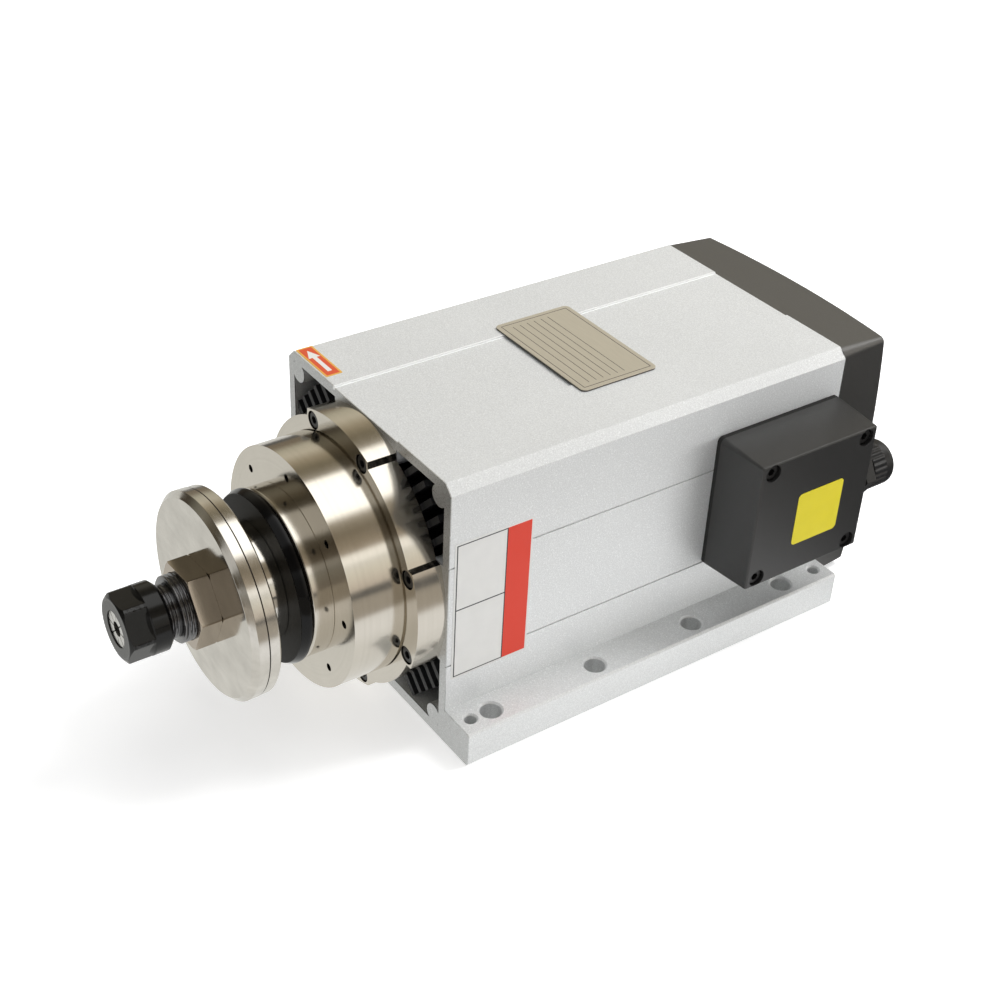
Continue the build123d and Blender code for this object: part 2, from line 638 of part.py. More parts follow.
def make_balls(start, outer, bore, width, ball, count):
    """Balls of one bearing."""
    return Compound([place * Sphere(ball / 2) for place in ball_places(start, outer, bore, width, count)])


def make_cage(start, outer, bore, width, ball, count):
    """Cage of one bearing: a thin ring with a pocket drilled for each ball."""
    pitch = (outer + bore) / 4
    half_width = ball / 2 + CAGE_SIDE
    middle = start + width / 2
    cage = ring(middle - half_width, middle + half_width, 2 * pitch + CAGE_THICKNESS,
                2 * pitch - CAGE_THICKNESS)
    for place in ball_places(start, outer, bore, width, count):
        cage -= place * Cylinder(ball / 2 + BALL_CLEARANCE, 4 * CAGE_THICKNESS)
    return cage


def make_shaft():
    """Spindle shaft with the collet taper, both threads, the arbor and the bearing seats."""
    nose = NOSE_THREAD_DIAMETER / 2
    relief = NOSE_RELIEF_DIAMETER / 2
    relief_front = CLAMP_THREAD_FRONT - NOSE_RELIEF_WIDTH
    clamp = CLAMP_THREAD_DIAMETER / 2
    arbor = ARBOR_DIAMETER / 2
    front_seat = FRONT_BEARING_BORE / 2
    collar = front_seat + BEARING_SHOULDER
    rear_seat = REAR_BEARING_BORE / 2
    rear_collar = rear_seat + REAR_SHOULDER
    rear_seat_end = REAR_BEARING_END + CIRCLIP_THICKNESS
    core_seat = ROTOR_SHAFT_DIAMETER / 2
    rotor_end = CORE_END + ROTOR_RING_LENGTH
    fan_seat = FAN_SHAFT_DIAMETER / 2
    shaft = turned(
        (NOSE_FACE, 0), (NOSE_FACE, nose - NOSE_CHAMFER), (NOSE_FACE + NOSE_CHAMFER, nose),
        (relief_front, nose), (relief_front, relief), (CLAMP_THREAD_FRONT, relief),
        (CLAMP_THREAD_FRONT, clamp - CLAMP_THREAD_CHAMFER),
        (CLAMP_THREAD_FRONT + CLAMP_THREAD_CHAMFER, clamp), (ARBOR_FRONT, clamp),
        (ARBOR_FRONT, arbor), (DUST_RING_FRONT, arbor), (DUST_RING_FRONT, front_seat),
        (FRONT_BEARINGS_END, front_seat), (FRONT_BEARINGS_END, collar),
        (FRONT_BEARINGS_END + COLLAR_LENGTH, collar), (FRONT_BEARINGS_END + COLLAR_LENGTH, core_seat),
        (rotor_end, core_seat), (rotor_end, rear_collar), (REAR_BEARING_START, rear_collar),
        (REAR_BEARING_START, rear_seat), (rear_seat_end, rear_seat), (rear_seat_end, fan_seat),
        (FAN_END, fan_seat), (FAN_END, 0))
    fan_tap = lengthwise(Circle(SCREW_DIAMETER / 2), FAN_END - SCREW_GRIP, FAN_END)
    return shaft - collet_seat() - fan_tap


def taper_radius(station):
    """Radius of the collet's long taper at a station."""
    return COLLET_DIAMETER / 2 - (station - COLLET_TAPER_START) * tan(radians(COLLET_HALF_ANGLE))


def collet_seat():
    """Tapered socket of the shaft with room behind the collet."""
    end = COLLET_REAR + COLLET_SOCKET_GAP
    mouth = taper_radius(NOSE_FACE) + RUNNING_FIT
    throat = taper_radius(end) + RUNNING_FIT
    return turned((NOSE_FACE, 0), (NOSE_FACE, mouth), (end, throat), (end + COLLET_SOCKET_RUNOUT, throat),
                  (end + COLLET_SOCKET_RUNOUT, 0))


def make_collet():
    """Slotted spring collet with its short front cone, snap groove and long taper."""
    outer = COLLET_DIAMETER / 2
    face = COLLET_FACE_DIAMETER / 2
    bore = COLLET_BORE / 2
    groove_floor = outer - COLLET_GROOVE_DEPTH
    collet = turned((COLLET_FRONT, bore), (COLLET_FRONT, face), (COLLET_RIM, outer), (COLLET_GROOVE, outer),
                    (COLLET_GROOVE, groove_floor), (COLLET_TAPER_START, groove_floor),
                    (COLLET_TAPER_START, outer), (COLLET_REAR, taper_radius(COLLET_REAR)),
                    (COLLET_REAR, bore))
    slot = Rectangle(COLLET_DIAMETER, COLLET_SLOT_WIDTH)
    half_turn = 180 / COLLET_SLOT_COUNT
    from_front = around(slot, COLLET_DIAMETER / 2, COLLET_SLOT_COUNT, half_turn)
    from_rear = around(slot, COLLET_DIAMETER / 2, COLLET_SLOT_COUNT)
    collet -= lengthwise(from_front, COLLET_FRONT, COLLET_REAR - COLLET_FRONT_SLOT_END)
    return collet - lengthwise(from_rear, COLLET_TAPER_START + COLLET_REAR_SLOT_START, COLLET_REAR)


def make_collet_nut():
    """Collet nut: hexagon in front, round collar behind, seat and snap rib inside."""
    outer = COLLET_NUT_DIAMETER / 2
    face = COLLET_NUT_FACE_DIAMETER / 2
    collar_front = COLLET_NUT_REAR - COLLET_NUT_COLLAR
    nut = turned((COLLET_NUT_FRONT, 0), (COLLET_NUT_FRONT, face),
                 (COLLET_NUT_FRONT + COLLET_NUT_FRONT_CHAMFER, outer),
                 (COLLET_NUT_REAR - COLLET_NUT_BEVEL, outer), (COLLET_NUT_REAR, outer - COLLET_NUT_BEVEL),
                 (COLLET_NUT_REAR, 0))
    waste = Circle(COLLET_NUT_DIAMETER) - hexagon(COLLET_NUT_FLATS)
    nut -= lengthwise(waste, COLLET_NUT_FRONT, collar_front)
    seat = COLLET_DIAMETER / 2 + RUNNING_FIT
    opening = COLLET_NUT_OPENING / 2
    thread = NOSE_THREAD_DIAMETER / 2 + RUNNING_FIT
    rib = seat - COLLET_GROOVE_DEPTH
    rib_front = COLLET_GROOVE + RUNNING_FIT
    rib_rear = COLLET_TAPER_START - RUNNING_FIT
    slope = 2 * COLLET_CONE_LENGTH / (COLLET_DIAMETER - COLLET_FACE_DIAMETER)
    cone_start = COLLET_RIM - (seat - opening) * slope
    return nut - turned((COLLET_NUT_FRONT, 0), (COLLET_NUT_FRONT, opening), (cone_start, opening),
                        (COLLET_RIM, seat), (rib_front, seat), (rib_front, rib), (rib_rear, rib),
                        (rib_rear, thread), (COLLET_NUT_REAR, thread), (COLLET_NUT_REAR, 0))


def make_clamp_nut():
    """Hexagon nut of the saw flanges, chamfered on both faces."""
    front = CLAMP_NUT_FRONT
    rear = OUTER_FLANGE_FRONT
    corner = NUT_WIDTH_ACROSS_FLATS / 2 / cos(radians(30))
    slope = NUT_CHAMFER / 2
    body = turned((front, 0), (front, corner - NUT_CHAMFER), (front + slope, corner),
                  (rear - slope, corner), (rear, corner - NUT_CHAMFER), (rear, 0))
    waste = Circle(NUT_WIDTH_ACROSS_FLATS) - Rot(0, 0, NUT_TURN) * hexagon(NUT_WIDTH_ACROSS_FLATS)
    body -= lengthwise(waste, front, rear)
    return body - ring(front, rear, CLAMP_THREAD_DIAMETER + 2 * RUNNING_FIT, 0)


def make_outer_flange():
    """Loose saw flange pushed by the nut, with a broad front chamfer."""
    outer = OUTER_FLANGE_DIAMETER / 2
    bore = ARBOR_DIAMETER / 2 + RUNNING_FIT
    return turned((OUTER_FLANGE_FRONT, bore), (OUTER_FLANGE_FRONT, outer - OUTER_FLANGE_CHAMFER),
                  (OUTER_FLANGE_FRONT + OUTER_FLANGE_CHAMFER, outer), (INNER_FLANGE_FRONT - 0.3, outer),
                  (INNER_FLANGE_FRONT, outer - 0.3), (INNER_FLANGE_FRONT, bore))


def make_inner_flange():
    """Fixed saw flange with its hub against the dust ring."""
    outer = INNER_FLANGE_DIAMETER / 2
    bore = ARBOR_DIAMETER / 2
    hub = FLANGE_HUB_DIAMETER / 2
    return turned((INNER_FLANGE_FRONT, bore), (INNER_FLANGE_FRONT, outer - 0.3),
                  (INNER_FLANGE_FRONT + 0.3, outer), (INNER_FLANGE_REAR - INNER_FLANGE_BEVEL, outer),
                  (INNER_FLANGE_REAR, outer - INNER_FLANGE_BEVEL), (INNER_FLANGE_REAR, hub),
                  (DUST_RING_FRONT, hub), (DUST_RING_FRONT, bore))


def make_dust_ring():
    """Black dust ring that turns in front of the cap, its hub inside the cap bore."""
    outer = DUST_RING_DIAMETER / 2
    bore = FRONT_BEARING_BORE / 2
    hub = DUST_HUB_DIAMETER / 2
    step = FRONT_BEARINGS_START - DUST_HUB_STEP
    return turned((DUST_RING_FRONT, bore), (DUST_RING_FRONT, outer - DUST_RING_FACE_CHAMFER),
                  (DUST_RING_FRONT + DUST_RING_BEVEL, outer), (DUST_RING_REAR, outer),
                  (DUST_RING_REAR, hub), (step, hub), (step, bore + DUST_HUB_WALL),
                  (FRONT_BEARINGS_START, bore + DUST_HUB_WALL),
                  (FRONT_BEARINGS_START, bore))


def make_rotor_core():
    """Rotor stack on the shaft."""
    return ring(CORE_START, CORE_END, STATOR_BORE - 2 * AIR_GAP, ROTOR_SHAFT_DIAMETER)


def make_rotor_ring(start):
    """Cast end ring of the rotor cage."""
    return ring(start, start + ROTOR_RING_LENGTH, ROTOR_RING_OUTER, ROTOR_SHAFT_DIAMETER)


def make_rear_bell():
    """Rear bell: a plate with four ears on the casing pads and the rear bearing hub."""
    section = Circle(CASING_DIAMETER / 2)
    section += Rectangle(2 * (CAVITY_HALF_WIDTH - REAR_BELL_EAR_GAP), REAR_BELL_EAR_WIDTH)
    ear_height = CAVITY_TOP + CAVITY_BOTTOM - 2 * REAR_BELL_EAR_GAP
    section += Pos(0, (CAVITY_TOP - CAVITY_BOTTOM) / 2) * Rectangle(REAR_BELL_EAR_WIDTH, ear_height)
    bell = lengthwise(section, CASING_END, CASING_END + REAR_BELL_THICKNESS)
    hub = REAR_BEARING_OUTER + 2 * REAR_BELL_HUB_WALL
    bell += ring(REAR_BELL_HUB_START, REAR_BELL_HUB_END, hub, 0)
    bell -= ring(REAR_BELL_HUB_START, REAR_BEARING_END + SPRING_THICKNESS, REAR_BEARING_OUTER, 0)
    bell -= ring(REAR_BEARING_END, REAR_BELL_HUB_END, REAR_BEARING_OUTER - 2 * REAR_BELL_SHOULDER, 0)
    for x, z in rear_bell_screw_points():
        clearance = Pos(x, z) * Circle(SCREW_DIAMETER / 2 + SCREW_CLEARANCE)
        bell -= lengthwise(clearance, CASING_END, CASING_END + REAR_BELL_THICKNESS)
    return bell


def make_rear_bell_screws():
    """Four socket-head screws that hold the rear bell to the casing."""
    seat = rear_plane(CASING_END + REAR_BELL_THICKNESS)
    length = REAR_BELL_THICKNESS + SCREW_GRIP - SCREW_END_GAP
    return Compound([seat * Pos(-x, z, 0) * cap_screw(length) for x, z in rear_bell_screw_points()])


def make_preload_spring():
    """Wave-spring washer behind the rear bearing."""
    outer = REAR_BEARING_OUTER - 2 * SPRING_GAP
    return ring(REAR_BEARING_END, REAR_BEARING_END + SPRING_THICKNESS, outer, outer - 2 * SPRING_WIDTH)


def make_fan():
    """Cooling fan: hub, plate and straight blades that push air to the corner channels."""
    hub_end = FAN_END - FAN_HUB_STEP
    hub = ring(FAN_START, hub_end, FAN_HUB_DIAMETER, FAN_SHAFT_DIAMETER)
    plate = ring(FAN_START, FAN_START + FAN_PLATE, FAN_DIAMETER, FAN_SHAFT_DIAMETER)
    root = (FAN_HUB_DIAMETER + FAN_SHAFT_DIAMETER) / 4
    tip = FAN_DIAMETER / 2
    blade = Rectangle(tip - root, FAN_BLADE_THICKNESS)
    blades = lengthwise(around(blade, (root + tip) / 2, FAN_BLADE_COUNT), FAN_START, hub_end)
    return hub + plate + (blades & ring(FAN_START, hub_end, FAN_DIAMETER, 0))


def make_fan_screw():
    """Screw and washer in the end of the shaft that hold the fan."""
    head = FAN_END + FAN_WASHER_THICKNESS
    return ring(FAN_END, head, FAN_WASHER_DIAMETER, 0) + rear_plane(head) * cap_screw(SCREW_GRIP)


def cover_shape(inset, corner, depth):
    """Outer or inner form of the fan cover: a drafted rounded square with a domed end."""
    width = HOUSING_WIDTH - 2 * (COVER_INSET + inset)
    height = AXIS_TO_TOP + SHAFT_HEIGHT - 2 * (COVER_INSET + inset)
    middle = (AXIS_TO_TOP - SHAFT_HEIGHT) / 2
    base = Pos(0, middle) * RectangleRounded(width, height, corner)
    block = extrude(rear_plane(COVER_START) * base, depth, taper=COVER_DRAFT)
    centre = COVER_START + depth - COVER_DOME_RADIUS
    return block & front_plane(centre) * Sphere(COVER_DOME_RADIUS)


def grille_slots():
    """Level air slots inside a circle."""
    slots = Sketch()
    steps = int(GRILLE_DIAMETER / 2 / GRILLE_PITCH)
    for step in range(-steps, steps + 1):
        height = step * GRILLE_PITCH
        half = (GRILLE_DIAMETER ** 2 / 4 - height ** 2) ** 0.5
        slots += Pos(0, height) * SlotOverall(2 * half, GRILLE_SLOT)
    return slots - Rectangle(GRILLE_SLOT, GRILLE_DIAMETER)


def make_fan_cover():
    """Moulded fan cover with corner screw posts and the air-inlet grille."""
    outer = cover_shape(0, COVER_CORNER, COVER_DEPTH)
    shell = outer - cover_shape(COVER_WALL, COVER_INNER_CORNER, COVER_DEPTH - COVER_WALL)
    posts = Sketch()
    holes = Sketch()
    bores = Sketch()
    for x, z in lobe_points():
        posts += Pos(x, z) * Circle(COVER_POST_RADIUS)
        holes += Pos(x, z) * Circle(SCREW_DIAMETER / 2 + SCREW_CLEARANCE)
        bores += Pos(x, z) * Circle(COUNTERBORE_DIAMETER / 2)
    cover = shell + (lengthwise(posts, COVER_START, COVER_END) & outer)
    cover -= lengthwise(holes, COVER_START, COVER_END)
    cover -= lengthwise(bores, COVER_SCREW_SEAT, COVER_END)
    return cover - lengthwise(grille_slots(), GRILLE_CUT_START, COVER_END)


def make_cover_screws():
    """Four socket-head screws that hold the fan cover to the corner lobes."""
    seat = rear_plane(COVER_SCREW_SEAT)
    length = COVER_SCREW_SEAT - COVER_START + SCREW_GRIP
    return Compound([seat * Pos(-x, z, 0) * cap_screw(length) for x, z in lobe_points()])


def box_outline(inset, corner):
    """Outline of the terminal box on the side of the housing."""
    shape = RectangleRounded(BOX_LENGTH - 2 * inset, BOX_HEIGHT - 2 * inset, corner)
    return Pos(BOX_CENTRE_STATION, BOX_CENTRE_HEIGHT) * shape


def make_terminal_gasket():
    """Black gasket plate between the housing and the terminal box."""
    gasket = extrude(side_plane(HALF_WIDTH) * box_outline(0, BOX_CORNER), GASKET_THICKNESS)
    opening = extrude(side_plane(HALF_WIDTH) * box_outline(GASKET_RIM, BOX_INNER_CORNER), GASKET_THICKNESS)
    for place in box_screw_points():
        opening -= extrude(side_plane(HALF_WIDTH) * Pos(*place) * Circle(BOX_POST_RADIUS), GASKET_THICKNESS)
        hole = Pos(*place) * Circle(SCREW_DIAMETER / 2 + SCREW_CLEARANCE)
        gasket -= extrude(side_plane(HALF_WIDTH) * hole, GASKET_THICKNESS)
    return gasket - opening


def make_terminal_cover():
    """Moulded terminal box: a drafted cap with four screw wells and the gland hole."""
    seat = side_plane(HALF_WIDTH + GASKET_THICKNESS)
    outer = extrude(seat * box_outline(0, BOX_CORNER), BOX_DEPTH, taper=BOX_DRAFT)
    outer = fillet(outer.faces().sort_by(Axis.X)[-1].edges(), BOX_EDGE_RADIUS)
    inner = extrude(seat * box_outline(BOX_WALL, BOX_INNER_CORNER), BOX_DEPTH - BOX_WALL, taper=BOX_DRAFT)
    shell = outer - inner
    for place in box_screw_points():
        shell += extrude(seat * Pos(*place) * Circle(BOX_POST_RADIUS), BOX_DEPTH) & outer
    for place in box_screw_points():
        shell -= extrude(seat * Pos(*place) * Circle(SCREW_DIAMETER / 2 + SCREW_CLEARANCE), BOX_DEPTH)
        well = side_plane(BOX_FACE_X) * Pos(*place) * Circle(COUNTERBORE_DIAMETER / 2)
        shell -= extrude(well, -BOX_WELL_DEPTH)
    hole = GLAND_THREAD_DIAMETER + 2 * SCREW_CLEARANCE
    return shell - gland_cylinder(hole, GLAND_WALL - 2 * BOX_WALL, GLAND_WALL + BOX_WALL)


def make_terminal_cover_screws():
    """Four long socket-head screws through the terminal box into the housing wall."""
    seat = side_plane(BOX_FACE_X - BOX_WELL_DEPTH)
    length = BOX_DEPTH + GASKET_THICKNESS + WALL - BOX_WELL_DEPTH
    return Compound([seat * Pos(*place, 0) * cap_screw(length) for place in box_screw_points()])


def make_terminal_block():
    """Terminal block on the housing wall inside the box."""
    outline = Rectangle(TERMINAL_BLOCK_LENGTH, TERMINAL_BLOCK_HEIGHT)
    outline = Pos(BOX_CENTRE_STATION, TERMINAL_BLOCK_MIDDLE) * outline
    block = extrude(side_plane(HALF_WIDTH) * outline, TERMINAL_BLOCK_DEPTH)
    face = side_plane(HALF_WIDTH + TERMINAL_BLOCK_DEPTH)
    for place in terminal_points():
        block -= extrude(face * Pos(*place) * Circle(TERMINAL_WELL_DIAMETER / 2), -TERMINAL_WELL_DEPTH)
    return block


def terminal_points():
    """Centres of the terminal screws, as (station, height above the axis)."""
    pitch = TERMINAL_BLOCK_LENGTH / TERMINAL_COUNT
    first = BOX_CENTRE_STATION - pitch * (TERMINAL_COUNT - 1) / 2
    return [(first + pitch * index, TERMINAL_BLOCK_MIDDLE) for index in range(TERMINAL_COUNT)]


def make_terminal_screws():
    """Brass clamp screws of the terminal block."""
    seat = side_plane(HALF_WIDTH + TERMINAL_BLOCK_DEPTH - TERMINAL_WELL_DEPTH)
    screw = extrude(Circle(TERMINAL_WELL_DIAMETER / 2 - SCREW_CLEARANCE), TERMINAL_SCREW_HEIGHT)
    slot = Pos(0, 0, TERMINAL_SCREW_HEIGHT) * Rectangle(TERMINAL_WELL_DIAMETER, TERMINAL_SLOT_WIDTH)
    screw -= extrude(slot, -TERMINAL_SLOT_DEPTH)
    return Compound([seat * Pos(*place, 0) * screw for place in terminal_points()])


def gland_section(section, start, end):
    """Extrude a section between two stations about the gland axis."""
    return lengthwise(Pos(GLAND_X, BOX_CENTRE_HEIGHT) * section, start, end)


def gland_cylinder(diameter, start, end):
    """Cylinder about the gland axis."""
    return gland_section(Circle(diameter / 2), start, end)


def make_gland_body():
    """Gland body: threaded stem through the wall and its hexagon outside."""
    inner_end = GLAND_SEAT - BOX_WALL - GLAND_INSIDE
    outer_end = GLAND_SEAT + GLAND_HEX_LENGTH + GLAND_STEM_OUTSIDE
    body = gland_cylinder(GLAND_THREAD_DIAMETER, inner_end, outer_end)
    body += gland_section(hexagon(GLAND_FLATS), GLAND_SEAT, GLAND_SEAT + GLAND_HEX_LENGTH)
    return body - gland_cylinder(GLAND_SEAL_DIAMETER, inner_end, outer_end)


def make_gland_nut():
    """Domed compression nut of the gland."""
    end = GLAND_NUT_START + GLAND_DOME_LENGTH
    nut = gland_cylinder(GLAND_DOME_DIAMETER, GLAND_NUT_START, end)
    nut = fillet(nut.faces().sort_by(Axis.Y)[-1].edges(), GLAND_DOME_RADIUS)
    nut -= gland_cylinder(GLAND_THREAD_DIAMETER, GLAND_NUT_START, GLAND_NUT_START + GLAND_STEM_OUTSIDE)
    nut -= gland_cylinder(GLAND_SEAL_DIAMETER, GLAND_NUT_START, end - GLAND_NUT_LIP)
    return nut - gland_cylinder(GLAND_CABLE_HOLE + GLAND_NUT_LIP, GLAND_NUT_START, end)


def make_gland_seal():
    """Rubber insert of the gland with its empty cable hole."""
    start = GLAND_NUT_START - GLAND_NUT_LIP
    end = GLAND_NUT_START + GLAND_DOME_LENGTH - GLAND_NUT_LIP
    return gland_cylinder(GLAND_SEAL_DIAMETER, start, end) - gland_cylinder(GLAND_CABLE_HOLE, start, end)


def make_gland_locknut():
    """Locknut of the gland inside the box, with a flat beside the box face."""
    outline = Rot(0, 0, 30) * hexagon(GLAND_LOCKNUT_FLATS)
    nut = gland_section(outline, GLAND_LOCKNUT_END - GLAND_LOCKNUT_THICKNESS, GLAND_LOCKNUT_END)
    hole = GLAND_THREAD_DIAMETER
    return nut - gland_cylinder(hole, GLAND_LOCKNUT_END - GLAND_LOCKNUT_THICKNESS, GLAND_LOCKNUT_END)


def make_nameplate():
    """Metal plate on the two lands beside the recessed band of the top face."""
    top = Plane(origin=(0, HOUSING_FRONT_Y + PLATE_STATION, SHAFT_HEIGHT + AXIS_TO_TOP))
    return extrude(top * RectangleRounded(PLATE_WIDTH, PLATE_LENGTH, PLATE_CORNER), PLATE_THICKNESS)


def make_rear_circlip():
    """Retaining ring behind the rear bearing."""
    return ring(REAR_BEARING_END, REAR_BEARING_END + CIRCLIP_THICKNESS,
                REAR_BEARING_BORE + 2 * CIRCLIP_WIDTH, REAR_BEARING_BORE)


def build_nodes():
    """Every sub-part under its node name."""
    front = (FRONT_BEARING_OUTER, FRONT_BEARING_BORE, FRONT_BEARING_WIDTH, FRONT_BALL)
    rear = (REAR_BEARING_OUTER, REAR_BEARING_BORE, REAR_BEARING_WIDTH, REAR_BALL)
    nodes = {
        "housing": make_housing(),
        "stator_casing": make_stator_casing(),
        "stator_core": make_stator_core(),
        "winding_front": make_winding(CORE_START - WINDING_LENGTH, CORE_START),
        "winding_rear": make_winding(CORE_END, CORE_END + WINDING_LENGTH),
        "front_bell": make_front_bell(),
        "front_cap": make_front_cap(),
        "flange_screws": make_flange_screws(),
        "rear_bell": make_rear_bell(),
        "rear_bell_screws": make_rear_bell_screws(),
        "preload_spring": make_preload_spring(),
        "fan_cover": make_fan_cover(),
        "cover_screws": make_cover_screws(),
        "terminal_gasket": make_terminal_gasket(),
        "terminal_cover": make_terminal_cover(),
        "terminal_cover_screws": make_terminal_cover_screws(),
        "terminal_block": make_terminal_block(),
        "terminal_screws": make_terminal_screws(),
        "gland_body": make_gland_body(),
        "gland_nut": make_gland_nut(),
        "gland_seal": make_gland_seal(),
        "gland_locknut": make_gland_locknut(),
        "nameplate": make_nameplate(),
        "shaft": make_shaft(),
        "rotor_core": make_rotor_core(),
        "rotor_ring_front": make_rotor_ring(CORE_START - ROTOR_RING_LENGTH),
        "rotor_ring_rear": make_rotor_ring(CORE_END),
        "dust_ring": make_dust_ring(),
        "inner_flange": make_inner_flange(),
        "outer_flange": make_outer_flange(),
        "clamp_nut": make_clamp_nut(),
        "collet": make_collet(),
        "collet_nut": make_collet_nut(),
        "rear_circlip": make_rear_circlip(),
        "fan": make_fan(),
        "fan_screw": make_fan_screw(),
        "rear_bearing_outer": make_outer_race(REAR_BEARING_START, *rear),
        "rear_bearing_inner": make_inner_race(REAR_BEARING_START, *rear),
        "rear_bearing_balls": make_balls(REAR_BEARING_START, *rear, REAR_BALL_COUNT),
        "rear_bearing_cage": make_cage(REAR_BEARING_START, *rear, REAR_BALL_COUNT),
    }
    for index in range(2):
        start = FRONT_BEARINGS_START + index * FRONT_BEARING_WIDTH
        nodes[f"front_bearing_{index + 1}_outer"] = make_outer_race(start, *front)
        nodes[f"front_bearing_{index + 1}_inner"] = make_inner_race(start, *front)
        nodes[f"front_bearing_{index + 1}_balls"] = make_balls(start, *front, FRONT_BALL_COUNT)
        nodes[f"front_bearing_{index + 1}_cage"] = make_cage(start, *front, FRONT_BALL_COUNT)
    return nodes


os.makedirs("parts", exist_ok=True)
for name, shape in build_nodes().items():
    export_step(shape, f"parts/{name}.step")
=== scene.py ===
"""Looks of an air-cooled motor spindle on foot rails, dressed piece by piece over its solid model.

Sizes are in millimetres and are turned into metres once, where a mesh is made.
"""
import json
import math

import bmesh
import bpy
import numpy as np
from mathutils import Matrix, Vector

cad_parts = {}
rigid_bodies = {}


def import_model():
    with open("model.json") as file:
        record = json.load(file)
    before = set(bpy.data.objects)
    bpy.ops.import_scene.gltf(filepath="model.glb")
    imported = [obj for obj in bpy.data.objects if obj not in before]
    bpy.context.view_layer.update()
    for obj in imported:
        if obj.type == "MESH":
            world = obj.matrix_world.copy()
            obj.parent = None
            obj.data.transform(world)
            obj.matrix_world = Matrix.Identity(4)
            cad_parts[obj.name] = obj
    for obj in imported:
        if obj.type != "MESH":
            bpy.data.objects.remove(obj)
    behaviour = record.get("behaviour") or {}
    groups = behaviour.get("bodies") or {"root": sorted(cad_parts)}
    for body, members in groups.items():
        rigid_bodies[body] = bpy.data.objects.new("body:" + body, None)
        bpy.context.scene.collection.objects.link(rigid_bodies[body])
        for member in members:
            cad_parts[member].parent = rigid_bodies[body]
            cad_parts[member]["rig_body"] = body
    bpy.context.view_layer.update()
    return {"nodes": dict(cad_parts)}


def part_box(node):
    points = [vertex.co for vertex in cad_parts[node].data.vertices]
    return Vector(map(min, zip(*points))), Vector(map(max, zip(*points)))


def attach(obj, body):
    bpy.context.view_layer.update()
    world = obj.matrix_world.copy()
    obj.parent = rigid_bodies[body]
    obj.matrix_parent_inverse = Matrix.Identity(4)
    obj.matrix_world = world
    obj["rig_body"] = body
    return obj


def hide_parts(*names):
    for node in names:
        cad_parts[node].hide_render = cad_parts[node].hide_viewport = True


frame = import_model()

# Housing
# One aluminium extrusion: a square tube with a foot along each side, cut to length, drilled and then
# bead-blasted and anodised clear, so it is pale, matt and faintly sparkling, with a brighter cut edge.
# A painted highlight lightens the edge of the recess in the top face that faces the light.


class Wire:
    """One value in a node tree. Python's operators on it add Math nodes."""

    def __init__(self, nodes, socket):
        self.nodes = nodes
        self.socket = socket

    def maths(self, operation, *values):
        return self.nodes.node("ShaderNodeMath", {"operation": operation}, list(values))

    def __add__(self, other):
        return self.maths("ADD", self, other)

    def __sub__(self, other):
        return self.maths("SUBTRACT", self, other)

    def __rsub__(self, other):
        return self.maths("SUBTRACT", other, self)

    def __mul__(self, other):
        return self.maths("MULTIPLY", self, other)

    def __truediv__(self, other):
        return self.maths("DIVIDE", self, other)

    def __pow__(self, other):
        return self.maths("POWER", self, other)

    def above(self, edge):
        return self.maths("GREATER_THAN", self, edge)

    def below(self, edge):
        return self.maths("LESS_THAN", self, edge)

    def within(self, low, high):
        return self.above(low) * self.below(high)

    def size(self):
        return self.maths("ABSOLUTE", self)

    def clamped(self, low, high):
        return self.maths("MINIMUM", self.maths("MAXIMUM", self, low), high)

    def fraction(self):
        return self.maths("FRACT", self)

    def sine(self):
        return self.maths("SINE", self)

    def angle_over(self, across):
        """Angle in radians of a point at this height and this far across."""
        return self.maths("ARCTAN2", self, across)

    __radd__ = __add__
    __rmul__ = __mul__


class NodeTree:
    """A node tree under construction. Every node comes from its one method."""

    def __init__(self, tree):
        self.tree = tree

    def node(self, kind, settings=None, inputs=(), output=0):
        """Add a node. Its settings are set first, a ramp's stops among them, and then its sockets."""
        made = self.tree.nodes.new(kind)
        for key, value in (settings or {}).items():
            if key == "stops":
                for index, (position, colour) in enumerate(value):
                    ramp = made.color_ramp.elements
                    stop = ramp[index] if index < 2 else ramp.new(position)
                    stop.position = position
                    stop.color = (*colour, 1.0)
            else:
                setattr(made, key, value)
        pairs = inputs.items() if isinstance(inputs, dict) else enumerate(inputs)
        for key, value in pairs:
            self.feed(made.inputs[key], value)
        return Wire(self, made.outputs[output])

    def feed(self, socket, value):
        """Link a wire to a socket, or set its plain value."""
        if isinstance(value, Wire):
            self.tree.links.new(value.socket, socket)
        elif isinstance(value, tuple) and len(value) == 3 and socket.type == "RGBA":
            socket.default_value = (*value, 1.0)
        else:
            socket.default_value = value

    def axes(self, vector):
        return [self.node("ShaderNodeSeparateXYZ", {}, [vector], axis) for axis in "XYZ"]

    def vector(self, x, y, z):
        return self.node("ShaderNodeCombineXYZ", {}, [x, y, z])

    def scaled(self, vector, factor):
        return self.node("ShaderNodeVectorMath", {"operation": "SCALE"}, {0: vector, "Scale": factor})

    def mix(self, share, first, second):
        """Blend two colours by a share from 0 to 1."""
        return self.node("ShaderNodeMix", {"data_type": "RGBA"}, {0: share, 6: first, 7: second}, 2)


